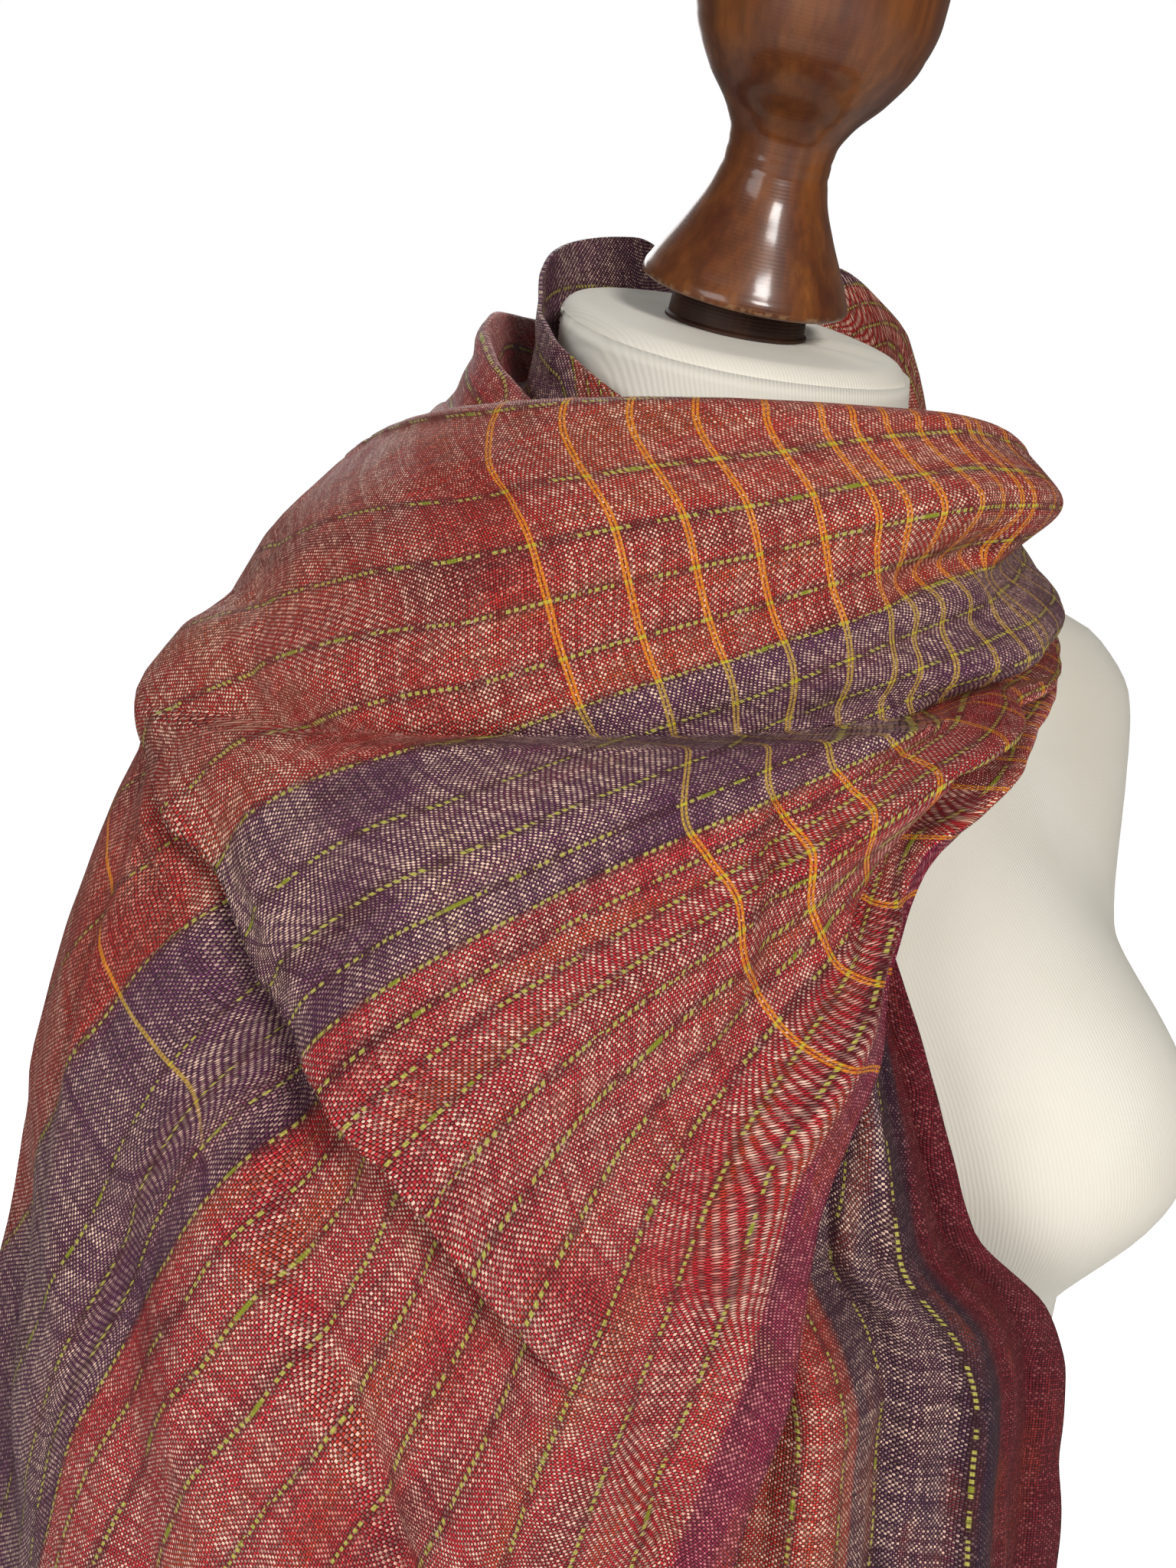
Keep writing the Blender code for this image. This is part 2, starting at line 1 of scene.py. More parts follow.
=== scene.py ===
# %% [markdown]
# # A hand-woven silk shawl on a dress form
# A shawl is one long woven strip.  Here it is wound once round the neck of a limbless dress form
# and thrown over one shoulder, so its looks come from two things: how the strip folds, and how
# the dyed threads cross.  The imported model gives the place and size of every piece; this lesson
# dresses it: fine folds, thread by thread colour, a turned and varnished finial, ribbed jersey.

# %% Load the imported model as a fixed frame
import math

import bmesh
import bpy
import numpy as np
from mathutils import Matrix, Vector
from mathutils.bvhtree import BVHTree


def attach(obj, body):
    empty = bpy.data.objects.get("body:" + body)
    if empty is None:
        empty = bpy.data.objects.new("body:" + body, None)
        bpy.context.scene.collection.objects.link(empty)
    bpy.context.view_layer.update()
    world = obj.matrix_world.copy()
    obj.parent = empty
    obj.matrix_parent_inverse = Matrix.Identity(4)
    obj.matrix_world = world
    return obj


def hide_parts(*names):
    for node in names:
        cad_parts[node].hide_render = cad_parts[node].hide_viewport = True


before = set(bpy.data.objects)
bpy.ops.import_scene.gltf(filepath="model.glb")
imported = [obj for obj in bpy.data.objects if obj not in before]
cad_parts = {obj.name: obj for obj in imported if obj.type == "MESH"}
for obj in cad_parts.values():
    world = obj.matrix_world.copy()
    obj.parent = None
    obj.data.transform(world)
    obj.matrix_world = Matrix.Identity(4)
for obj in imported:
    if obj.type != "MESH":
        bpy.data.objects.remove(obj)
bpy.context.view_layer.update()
print("nodes", sorted(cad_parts))

# %% [markdown]
# ## The camera
# The photo was taken from the form's front right, a little above the shoulders, with a normal
# lens.  The neck plate's ellipse, the lean of the finial and the outline of the drape fix where
# the camera stood, so its place and turn are written down as plain numbers.

# %% Place the camera
CAMERA_PLACE = Vector((-0.2819, -0.4719, 0.6022))
CAMERA_TURN = math.radians(-26.5)
CAMERA_RISE = math.radians(6.0)
CAMERA_ROLL = math.radians(0.8)
CAMERA_LENS = 2050.0 / 2048.0 * 36.0


def aim_camera():
    """The photo's camera: back, right and up axes from its turn, rise and roll."""
    back = Vector((math.sin(CAMERA_TURN) * math.cos(CAMERA_RISE),
                   -math.cos(CAMERA_TURN) * math.cos(CAMERA_RISE), math.sin(CAMERA_RISE)))
    level = Vector((math.cos(CAMERA_TURN), math.sin(CAMERA_TURN), 0.0))
    rise = back.cross(level)
    right = level * math.cos(CAMERA_ROLL) + rise * math.sin(CAMERA_ROLL)
    up = rise * math.cos(CAMERA_ROLL) - level * math.sin(CAMERA_ROLL)
    camera = bpy.data.objects.new("camera", bpy.data.cameras.new("camera"))
    bpy.context.scene.collection.objects.link(camera)
    camera.matrix_world = (Matrix.Translation(CAMERA_PLACE)
                           @ Matrix((right, up, back)).transposed().to_4x4())
    camera.data.lens = CAMERA_LENS
    camera.data.clip_start = 0.01
    bpy.context.scene.camera = camera


aim_camera()
print("lens", round(CAMERA_LENS, 2), "mm")

# %% [markdown]
# ## The shape under the looks
# The shawl is described as the CAD part describes it: a place along the strip and a place across
# it give a point.  Repeating those named tables here means that each finely folded sheet lies on
# its own solid.  Lines between a table's rows are monotone curves, so nothing overshoots.

# %% Sizes of the dress form and of its finial
NECK_PLATE_HEIGHT = 0.700
NECK_LEAN_START = 0.620
NECK_TILT = math.radians(22.0)
FINIAL_TILT = math.radians(26.0)
NECK_LEAN_FORWARD = 0.012
PLATE_EDGE_RADIUS = 0.007
SECTION_POWER = 2.3
BUST_ANGLE = 32.4
BUST_WIDTH = 25.0
BUST_ROUNDNESS = 1.25
BUST_HEIGHT = 0.439
BUST_FULLNESS = 0.052
BUST_RISE = 0.074
BUST_FALL = 0.050
BASE_CHAMFER = 0.006
# Height, half width, front depth, back depth of the torso's sections
FORM_SECTIONS = (
    (0.000, 0.168, 0.112, 0.122),
    (0.050, 0.172, 0.114, 0.128),
    (0.130, 0.160, 0.108, 0.112),
    (0.200, 0.136, 0.098, 0.088),
    (0.255, 0.122, 0.092, 0.078),
    (0.320, 0.130, 0.096, 0.086),
    (0.380, 0.140, 0.098, 0.096),
    (0.440, 0.150, 0.098, 0.106),
    (0.500, 0.161, 0.092, 0.108),
    (0.545, 0.174, 0.080, 0.102),
    (0.575, 0.181, 0.066, 0.090),
    (0.598, 0.166, 0.058, 0.079),
    (0.615, 0.127, 0.054, 0.070),
    (0.635, 0.083, 0.052, 0.062),
    (0.660, 0.0605, 0.052, 0.056),
    (0.700, 0.0560, 0.054, 0.055),
)
# Turned profile of the finial: height above the neck plate, radius
FINIAL_PROFILE = (
    (0.0115, 0.0260),
    (0.0115, 0.0335),
    (0.0128, 0.0345),
    (0.0150, 0.0342),
    (0.0230, 0.0300),
    (0.0340, 0.0238),
    (0.0450, 0.0188),
    (0.0530, 0.0172),
    (0.0590, 0.0174),
    (0.0660, 0.0205),
    (0.0760, 0.0288),
    (0.0880, 0.0358),
    (0.1010, 0.0386),
    (0.1130, 0.0382),
    (0.1250, 0.0338),
    (0.1350, 0.0255),
    (0.1415, 0.0150),
    (0.1440, 0.0070),
)
NECK_BLOCK_RADIUS = 0.0225
NECK_BLOCK_FLARE = 0.0015
NECK_BLOCK_HEIGHT = 0.0096
TOUCH_GAP = 0.0003

# %% Sizes of the shawl
CLOTH_WIDTH = 0.560
LAYER_GAP = 0.0040
FORM_GAP = 0.0027
# The outer drape hangs on this envelope:
# height, half width on the form's right, half width on its left, front depth, back depth
CAPE_SECTIONS = (
    (0.000, 0.240, 0.200, 0.160, 0.165),
    (0.200, 0.248, 0.190, 0.157, 0.163),
    (0.380, 0.243, 0.170, 0.155, 0.152),
    (0.430, 0.232, 0.160, 0.155, 0.146),
    (0.470, 0.224, 0.152, 0.150, 0.141),
    (0.520, 0.208, 0.135, 0.136, 0.134),
    (0.560, 0.190, 0.112, 0.123, 0.127),
    (0.600, 0.166, 0.100, 0.114, 0.117),
    (0.630, 0.148, 0.094, 0.109, 0.107),
    (0.650, 0.127, 0.090, 0.106, 0.099),
    (0.672, 0.100, 0.084, 0.100, 0.090),
)
# Lines of the outer drape, by station along the cloth from the left shoulder to the fallen end.
# Each pair is angle and height: of the rolled top edge, of the purple band's two edges and of the
# lower selvedge.
DRAPE_STATIONS = (
    (84, 0.662, 80, 0.646, 74, 0.632, 66, 0.612),
    (52, 0.652, 42, 0.628, 35, 0.603, 25, 0.580),
    (12, 0.659, 4, 0.612, -4, 0.574, 2, 0.547),
    (-22, 0.659, -22, 0.596, -27, 0.554, -12, 0.492),
    (-50, 0.659, -44, 0.581, -45, 0.531, -20, 0.448),
    (-76, 0.659, -59, 0.564, -57, 0.504, -22, 0.408),
    (-101, 0.656, -68, 0.530, -63, 0.466, -27, 0.366),
    (-122, 0.640, -74, 0.460, -69, 0.415, -31, 0.310),
    (-138, 0.588, -79, 0.370, -74, 0.335, -35, 0.235),
    (-148, 0.480, -83, 0.270, -77, 0.235, -38, 0.145),
    (-154, 0.350, -86, 0.165, -80, 0.130, -40, 0.045),
)
DRAPE_LINES_ACROSS = (0.200, 0.370, 0.530, 1.000)
SPLIT_STATION = 6.0
ROLL_RADIUS = 0.007
# How far across the cloth the hidden selvedge returns behind the rolled top edge, by station
ROLL_RETURNS = (0.20, 0.08, 0.12, 0.16, 0.14, 0.10, 0.07, 0.05, 0.04, 0.04, 0.04)
ROLL_STEEP = 6.0
# Folds that run along the cloth on the outer drape: place across the cloth at the shoulder and at
# the far end, first and last station, height (negative for a hollow), half width across the cloth
DRAPE_FOLDS = (
    (0.270, 0.280, -1.0, 3.2, 0.016, 0.060),
    (0.385, 0.360, -1.0, 2.2, -0.024, 0.045),
    (0.480, 0.470, -1.0, 3.0, 0.014, 0.055),
    (0.610, 0.560, -1.0, 3.0, -0.018, 0.050),
    (0.720, 0.640, -1.0, 4.2, 0.011, 0.060),
    (0.860, 0.800, -0.5, 4.0, -0.012, 0.050),
    (0.950, 0.900, 0.5, 6.0, 0.009, 0.045),
)
# Hanging creases on the outer drape: angle and height of both ends, depth, half width
DRAPE_CREASES = (
    (-83, 0.575, -44, 0.400, 0.013, 0.016),
    (-61, 0.492, -50, 0.330, 0.009, 0.012),
    (-48, 0.446, -41, 0.300, 0.006, 0.009),
    (-33, 0.470, -36, 0.340, 0.006, 0.012),
    (-92, 0.470, -78, 0.220, 0.008, 0.016),
    (-106, 0.520, -98, 0.200, 0.012, 0.018),
    (-122, 0.560, -112, 0.180, 0.012, 0.018),
    (-136, 0.480, -130, 0.200, 0.010, 0.016),
    (-66, 0.300, -60, 0.080, 0.011, 0.016),
    (24, 0.587, -68, 0.565, 0.007, 0.006),
    (24, 0.566, -62, 0.546, -0.008, 0.015),
    (0, 0.560, -13, 0.495, 0.012, 0.009),
)
# The loop round the neck: angle along the loop, height of its top edge, radius of that edge
LOOP_PATH = (
    (-28, 0.646, 0.074),
    (-60, 0.674, 0.070),
    (-95, 0.700, 0.063),
    (-135, 0.731, 0.058),
    (-180, 0.744, 0.062),
    (-215, 0.746, 0.076),
    (-242, 0.737, 0.089),
    (-254, 0.718, 0.097),
    (-265, 0.694, 0.096),
    (-274, 0.674, 0.090),
)
# The strip turns the corner from the hanging end into the loop over this angle
LOOP_CORNER = 34.0
# Its section at five angles on the way: place across the cloth, distance out from the top edge,
# drop below it
LOOP_SECTIONS = (
    (-28, ((0.0, 0.000, 0.000), (0.15, 0.003, 0.014), (0.30, 0.008, 0.026), (0.45, 0.013, 0.036),
           (0.60, 0.019, 0.044), (0.80, 0.026, 0.054), (1.0, 0.034, 0.066))),
    (-95, ((0.0, 0.000, 0.000), (0.15, 0.004, 0.030), (0.26, 0.010, 0.034), (0.36, 0.017, 0.014),
           (0.50, 0.028, 0.034), (0.75, 0.042, 0.054), (1.0, 0.056, 0.066))),
    (-180, ((0.0, 0.000, 0.000), (0.14, 0.004, 0.050), (0.26, 0.014, 0.056), (0.36, 0.022, 0.030),
            (0.48, 0.027, 0.066), (0.56, 0.037, 0.074), (0.66, 0.043, 0.056), (0.78, 0.047, 0.096),
            (0.86, 0.056, 0.104), (1.0, 0.058, 0.160))),
    (-240, ((0.0, -0.011, 0.046), (0.12, -0.006, 0.014), (0.20, 0.000, 0.000), (0.28, 0.008, 0.006),
            (0.42, 0.012, 0.030), (0.60, 0.024, 0.044), (0.78, 0.030, 0.070), (1.0, 0.050, 0.088))),
    (-274, ((0.0, -0.015, 0.022), (0.20, 0.000, 0.000), (0.38, 0.006, 0.010), (0.54, 0.000, 0.018),
            (0.70, 0.006, 0.026), (0.86, 0.002, 0.034), (1.0, 0.010, 0.040))),
)
# Share of the tail that bends into the loop, and of the loop that bends into the outer drape
TAIL_JOIN = 0.16
LOOP_JOIN = 0.08
# The end that hangs in front: height, angle of its visible selvedge, angle of the hidden one
TAIL_TOP_FALL = 0.045
TAIL_STATIONS = (
    (0.055, 17, -66),
    (0.200, 17, -66),
    (0.330, 16, -64),
    (0.385, 16, -61),
    (0.405, 13, -60),
    (0.436, 1, -58),
    (0.462, -2, -56),
    (0.504, -6, -56),
    (0.550, -12, -58),
    (0.590, -18, -60),
    (0.635, -26, -62),
)
# Its folds: place across the cloth, height, half width across the cloth
TAIL_FOLDS = (
    (0.060, -0.003, 0.05),
    (0.200, 0.009, 0.05),
    (0.320, -0.010, 0.05),
    (0.440, 0.007, 0.05),
    (0.570, -0.009, 0.06),
    (0.700, 0.006, 0.06),
    (0.850, -0.007, 0.07),
)
# Where two stretches meet, each ends this far short of the seam
CORNER_GAP = 0.0012
SHOULDER_GAP = 0.0008
CREASE_GAP = 0.0004
SEAM_ROW = 0.0040
TAIL_LENGTH = 0.60
LOOP_LENGTH = 0.43
STATION_LENGTH = 0.073
# Rows of each stretch along the cloth
TAIL_ROWS = 21
LOOP_ROWS = 28
FRONT_ROWS = 25
BACK_ROWS = 15
ROLL_FADE_COLUMNS = 8.0
RAY_REACH = 0.5
CLEAR_START = 1.2
# Places across the cloth of the sheet's rows, closer where the top edge rolls
ACROSS_ROWS = (0.0, 0.06, 0.12, 0.150, 0.168, 0.184, 0.20, 0.220, 0.25, 0.28, 0.31, 0.34, 0.37, 0.40,
               0.43, 0.46, 0.49, 0.52, 0.56, 0.60, 0.64, 0.68, 0.72, 0.76, 0.80, 0.85, 0.90, 0.95,
               1.0)


# %% Curves through tables
def along(places, values, x):
    """A smooth curve through the last axis of a table, with no overshoot between its rows."""
    places, x = np.asarray(places, float), np.asarray(x, float)
    values = np.broadcast_to(np.asarray(values, float), x.shape + (len(places),))
    x = np.clip(x, places[0], places[-1])
    step = np.diff(places)
    slope = np.diff(values, axis=-1) / step
    before, after = slope[..., :-1], slope[..., 1:]
    level = before * after <= 0
    tangent = slope[..., [0] + list(range(len(step)))].copy()
    tangent[..., -1] = slope[..., -1]
    safe_before, safe_after = np.where(level, 1.0, before), np.where(level, 1.0, after)
    tangent[..., 1:-1] = np.where(level, 0.0, 2.0 / (1.0 / safe_before + 1.0 / safe_after))
    k = np.clip(np.searchsorted(places, x) - 1, 0, len(step) - 1)
    t = (x - places[k]) / step[k]
    at = lambda table, index: np.take_along_axis(table, index[..., None], -1)[..., 0]
    return (at(values, k) * (2 * t ** 3 - 3 * t ** 2 + 1) + at(values, k + 1) * (3 * t ** 2 - 2 * t ** 3)
            + at(tangent, k) * step[k] * (t ** 3 - 2 * t ** 2 + t)
            + at(tangent, k + 1) * step[k] * (t ** 3 - t ** 2))


def column(table, index):
    """One named column of a table."""
    return [row[index] for row in table]


def curves(table, x, *columns):
    """Named columns of a table as smooth curves over its first one."""
    return [along(column(table, 0), column(table, index), x) for index in columns]


def ease(x):
    """A soft step from 0 to 1."""
    x = np.clip(x, 0.0, 1.0)
    return x * x * (3 - 2 * x)


# %% The dress form's surface
def oval_radius(angle, half_width, depth):
    """Radius of a rounded section towards an angle in radians."""
    return (np.abs(np.sin(angle) / half_width) ** SECTION_POWER
            + np.abs(np.cos(angle) / depth) ** SECTION_POWER) ** (-1 / SECTION_POWER)


def form_radius(degrees, height):
    """Radius of the torso, bust included."""
    angle = np.radians(degrees)
    half_width, front, back = curves(FORM_SECTIONS, height, 1, 2, 3)
    radius = oval_radius(angle, half_width, np.where(np.cos(angle) > 0, front, back))
    rise = height - BUST_HEIGHT
    spread = np.where(rise > 0, BUST_RISE, BUST_FALL)
    for side in (-1, 1):
        off = (degrees - side * BUST_ANGLE + 180) % 360 - 180
        reach = (off / BUST_WIDTH) ** 2 + (rise / spread) ** 2
        radius = radius + BUST_FULLNESS * np.exp(-reach ** BUST_ROUNDNESS)
    return radius


def place(degrees, radius, height):
    """A point from its angle, radius and height."""
    angle = np.radians(degrees)
    return np.stack(np.broadcast_arrays(radius * np.sin(angle), -radius * np.cos(angle),
                                        height), -1)


def lean(points):
    """The neck leans forward and its top tilts with it."""
    x, y, z = points[..., 0], points[..., 1], points[..., 2]
    share = ease((z - NECK_LEAN_START) / (NECK_PLATE_HEIGHT - NECK_LEAN_START))
    return np.stack([x, y - NECK_LEAN_FORWARD * share, z + share * math.tan(NECK_TILT) * y], -1)


# %% The outer drape's envelope and creases
# The creases are laid out on a cylinder of this radius
CREASE_RADIUS = 0.20
# The outer drape keeps this far off the torso
CAPE_GAP = 0.012


def cape_radius(degrees, height):
    """Radius of the envelope that the outer drape hangs on."""
    angle = np.radians(degrees)
    right, left, front, back = curves(CAPE_SECTIONS, height, 1, 2, 3, 4)
    side = 0.5 - 0.5 * np.tanh(np.sin(angle) / 0.35)
    half_width = left + (right - left) * side
    depth = back + (front - back) * (0.5 + 0.5 * np.tanh(np.cos(angle) / 0.25))
    return np.maximum(oval_radius(angle, half_width, depth), form_radius(degrees, height) + CAPE_GAP)


def from_line(px, pz, ax, az, bx, bz):
    """Place along a line between two points, from 0 to 1, and distance to the right of it."""
    length = math.hypot(bx - ax, bz - az)
    t = ((px - ax) * (bx - ax) + (pz - az) * (bz - az)) / length ** 2
    return t, ((px - ax) * (bz - az) - (pz - az) * (bx - ax)) / length


def trough(degrees, height, a0, z0, a1, z1, half_width):
    """Depth share of a crease that runs between two places on the drape."""
    t, off = from_line(np.radians(degrees) * CREASE_RADIUS, height,
                       math.radians(a0) * CREASE_RADIUS, z0, math.radians(a1) * CREASE_RADIUS, z1)
    fade = ease(t / 0.25) * ease((1.15 - t) / 0.4)
    return np.exp(-(off / half_width) ** 2) * fade


def drape_lines(station, across):
    """Angle and height on the outer drape of a place across the cloth."""
    index = np.arange(len(DRAPE_STATIONS))
    station, across = np.broadcast_arrays(station, np.clip(across, DRAPE_LINES_ACROSS[0], 1.0))
    lines = [along(index, column(DRAPE_STATIONS, k), station) for k in range(8)]
    return [along(DRAPE_LINES_ACROSS, np.stack(lines[k::2], -1), across) for k in (0, 1)]


def drape_relief(station, across, degrees, height):
    """How far the outer drape stands off its envelope."""
    relief = 0.0
    last = len(DRAPE_STATIONS) - 1
    for start, end, first, final, size, half_width in DRAPE_FOLDS:
        centre = start + (end - start) * station / last
        taper = ease((final - station) / (final - max(first, 0.0)) * 1.2)
        taper = taper * ease((station - 0.5) / 1.1)
        relief = relief + size * taper * np.exp(-((across - centre) / half_width) ** 2)
    for a0, z0, a1, z1, depth, half_width in DRAPE_CREASES:
        relief = relief - depth * trough(degrees, height, a0, z0, a1, z1, half_width)
    return relief


def drape(station, across):
    """A point of the outer drape: the top rolls over inwards to the hidden selvedge."""
    station, across = np.broadcast_arrays(np.asarray(station, float), np.asarray(across, float))
    top = DRAPE_LINES_ACROSS[0]
    inside = np.clip(top - across, 0.0, top)
    turn = np.clip(inside * CLOTH_WIDTH / ROLL_RADIUS, 0.0, math.pi)
    hidden = np.maximum(inside - math.pi * ROLL_RADIUS / CLOTH_WIDTH, 0.0) / top
    hidden = hidden * along(np.arange(len(ROLL_RETURNS)), ROLL_RETURNS, station)
    seen = np.where(across < top, top + hidden, across)
    degrees, height = drape_lines(station, seen)
    radius = cape_radius(degrees, height) + drape_relief(station, seen, degrees, height)
    radius = radius - ROLL_RADIUS * (1 - np.cos(turn))
    level = 1.0 - ease((station - ROLL_STEEP) / 2.0)
    height = height + 0.6 * ROLL_RADIUS * np.sin(turn) * level
    return place(degrees, radius, height)


# %% The loop round the neck and the hanging end
def joined(points, following, share, across, pace, reach):
    """Bend a stretch's last part so that it runs smoothly into the stretch that follows."""
    small = 0.02
    start = following(0.0 * share, across)
    onward = (following(0.0 * share + small, across) - start) / small
    target = start + onward * ((share - 1) * pace)[..., None]
    join = ease((share - 1 + reach) / reach)[..., None]
    return points + (target - points) * join


def loop(share, across):
    """A point of the loop round the neck, from the front over the right collar to the left."""
    share, across = np.broadcast_arrays(np.asarray(share, float), np.asarray(across, float))
    path_angles = [-row[0] for row in LOOP_PATH]
    start = path_angles[0] + LOOP_CORNER * across
    turn = start + (path_angles[-1] - start) * share
    top = along(path_angles, column(LOOP_PATH, 1), turn)
    inner = along(path_angles, column(LOOP_PATH, 2), turn)
    section_angles = [-row[0] for row in LOOP_SECTIONS]
    out, drop = (along(section_angles, np.stack(
        [curves(rows, across, k)[0] for _, rows in LOOP_SECTIONS], -1), turn) for k in (1, 2))
    ring = place(-turn, inner + out, top - drop)
    return joined(ring, drape, share, across, LOOP_LENGTH / STATION_LENGTH, LOOP_JOIN)


def tail(share, across):
    """A point of the end that hangs in front, from its hem up to the loop."""
    share, across = np.broadcast_arrays(np.asarray(share, float), np.asarray(across, float))
    heights = column(TAIL_STATIONS, 0)
    height = heights[0] + (heights[-1] - TAIL_TOP_FALL * across - heights[0]) * share
    near, far = curves(TAIL_STATIONS, height, 1, 2)
    degrees = near + (far - near) * across
    folds = sum(size * np.exp(-((across - centre) / half) ** 2)
                for centre, size, half in TAIL_FOLDS)
    radius = cape_radius(degrees, height) - 0.010 + folds * ease(share * 4 + 0.5)
    radius = np.maximum(radius, form_radius(degrees, height) + FORM_GAP)
    hang = place(degrees, radius, height)
    return joined(hang, loop, share, across, TAIL_LENGTH / LOOP_LENGTH, TAIL_JOIN)


# %% Keep the layers apart
def outward_of(points):
    """Each point's distance from the upright axis and its level way out."""
    radius = np.hypot(points[..., 0], points[..., 1])
    return radius, points * (1.0, 1.0, 0.0) / radius[..., None]


def push_past(points, outward, layers, gap):
    """How far out each point has to go to clear the layers under it."""
    radius = outward_of(points)[0]
    push = np.zeros(radius.shape)
    for spot in np.ndindex(radius.shape):
        way = Vector(outward[spot])
        start = way * RAY_REACH + Vector((0.0, 0.0, points[spot][2]))
        for tree in layers:
            hit = tree.ray_cast(start, -way, RAY_REACH)[0]
            if hit is not None:
                push[spot] = max(push[spot], math.hypot(hit.x, hit.y) + gap - radius[spot])
    return push


def window(table, reach, pick):
    """The highest or mean value near each place of a table."""
    padded = np.pad(table, reach, mode="edge")
    rows, columns = table.shape
    sides = range(2 * reach + 1)
    return pick([padded[i:i + rows, j:j + columns] for i in sides for j in sides], axis=0)


def clear_of(points, layers, gap, hidden_columns=0, share=1.0):
    """Move a sheet out from the upright axis until it clears the layers under it."""
    outward = outward_of(points)[1]
    push = push_past(points, outward, layers, gap)
    if hidden_columns:
        rolled = push[:, :hidden_columns].max(axis=1, keepdims=True)
        fade = ease(1.0 - (np.arange(push.shape[1]) - hidden_columns) / ROLL_FADE_COLUMNS)
        push = np.maximum(push, rolled * fade)
    for pick in (np.max, np.max, np.mean):
        push = window(push, 1, pick)
    return points + outward * (push * share)[..., None]


def stretch_rows(start, end, count, length, gaps):
    """Places of a stretch's rows along the cloth, with a gap and a close row at each seam."""
    first, final = start + gaps[0] / length, end - gaps[1] / length
    beside = [place_along + side * SEAM_ROW / length
              for place_along, side, gap in ((first, 1, gaps[0]), (final, -1, gaps[1])) if gap]
    inner = np.linspace(first, final, count - len(beside))
    return np.sort(np.concatenate([inner, beside]))[:, None]


# %% [markdown]
# ## The dress form
# A torso form is padded, then a tube of fine-rib jersey is pulled over it.  Its shape is smooth
# and round, so a fine grid is wrapped round it with the surface rule above.  The flat neck plate
# is a second grid of rings, where the jersey puckers a little beside the wooden block.

# %% Small helpers for meshes
FORM_HEIGHT_STEPS = 150
FORM_TURN_STEPS = 168


def new_item(name, sheet):
    """Store a bmesh as a named object."""
    mesh = bpy.data.meshes.new(name)
    sheet.to_mesh(mesh)
    sheet.free()
    item = bpy.data.objects.new(name, mesh)
    bpy.context.scene.collection.objects.link(item)
    return item


def new_piece(name, sheet):
    """A smooth object that rides with the body."""
    item = new_item(name, sheet)
    item.data.shade_smooth()
    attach(item, "root")
    return item


def grid_sheet(rows, columns):
    """A flat operator-made grid; vertex k of row i lies at place i * columns + k."""
    sheet = bmesh.new()
    bmesh.ops.create_grid(sheet, x_segments=columns - 1, y_segments=rows - 1, size=0.5)
    return sheet


def move_vertices(sheet, points):
    """Put a grid's vertices on a table of points with the same rows and columns."""
    for vert, point in zip(sheet.verts, points.reshape(-1, 3)):
        vert.co = point


# %% The torso, wrapped and closed
# Puckers of the jersey on the neck plate: angle, half width in degrees, rise
PLATE_FOLDS = (
    (38, 7.0, 0.0013),
    (54, 6.0, -0.0012),
    (69, 7.0, 0.0016),
    (86, 8.0, -0.0010),
    (104, 8.0, 0.0009),
    (-150, 11.0, 0.0007),
    (-60, 14.0, 0.0004),
)
PLATE_RINGS = 22
PUCKER_START = 0.42


def plate_rim():
    """The neck plate's centre and its outward side, found from its outline."""
    degrees = np.arange(40) * 9.0
    rim = lean(place(degrees, form_radius(degrees, NECK_PLATE_HEIGHT), NECK_PLATE_HEIGHT))
    normal = np.array((0.0, -math.sin(NECK_TILT), math.cos(NECK_TILT)))
    return rim.mean(axis=0), normal


PLATE_CENTRE, PLATE_NORMAL = plate_rim()


def torso_points():
    """Rings from the centre of the base, up the torso, over the rim to the plate's centre."""
    degrees = np.linspace(-180.0, 180.0, FORM_TURN_STEPS + 1)
    heights = NECK_PLATE_HEIGHT * np.linspace(0.0, 1.0, FORM_HEIGHT_STEPS)
    base = place(degrees, form_radius(degrees, 0.0) - BASE_CHAMFER, 0.0)
    rings = [base * share for share in (0.02, 0.3, 0.6, 0.85, 0.97, 1.0)]
    for turn in np.radians((30.0, 60.0)):
        inset = BASE_CHAMFER * (1 - math.sin(turn))
        rings.append(place(degrees, form_radius(degrees, 0.0) - inset,
                           BASE_CHAMFER * (1 - math.cos(turn))))
    for height in heights[heights > BASE_CHAMFER]:
        rings.append(lean(place(degrees, form_radius(degrees, height), height)))
    rim = rings.pop() - PLATE_CENTRE
    size = np.linalg.norm(rim, axis=-1, keepdims=True)
    for turn in np.radians(np.linspace(0.0, 90.0, 9)):
        inset = PLATE_EDGE_RADIUS * (1 - math.cos(turn))
        sink = PLATE_EDGE_RADIUS * (1 - math.sin(turn))
        rings.append(PLATE_CENTRE + rim * (1 - inset / size) - PLATE_NORMAL * sink)
    edge = 1 - PLATE_EDGE_RADIUS / size
    for share in np.linspace(1.0, 0.02, PLATE_RINGS)[1:]:
        pucker = sum(rise * np.exp(-(((degrees - angle + 180) % 360 - 180) / width) ** 2)
                     for angle, width, rise in PLATE_FOLDS)
        swell = np.sin(math.pi * np.clip((share - PUCKER_START) / (1.0 - PUCKER_START), 0.0, 1.0))
        rings.append(PLATE_CENTRE + rim * edge * share
                     + PLATE_NORMAL * (pucker * swell)[:, None])
    return np.array(rings)


def make_torso():
    """The jersey-covered torso as one closed surface."""
    points = torso_points()
    sheet = grid_sheet(*points.shape[:2])
    move_vertices(sheet, points)
    bmesh.ops.remove_doubles(sheet, verts=sheet.verts, dist=0.00001)
    bmesh.ops.holes_fill(sheet, edges=[edge for edge in sheet.edges if edge.is_boundary], sides=0)
    bmesh.ops.recalc_face_normals(sheet, faces=sheet.faces)
    return new_piece("form_jersey", sheet)


torso = make_torso()
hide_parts("form_torso")
print("torso", len(torso.data.polygons), "faces")

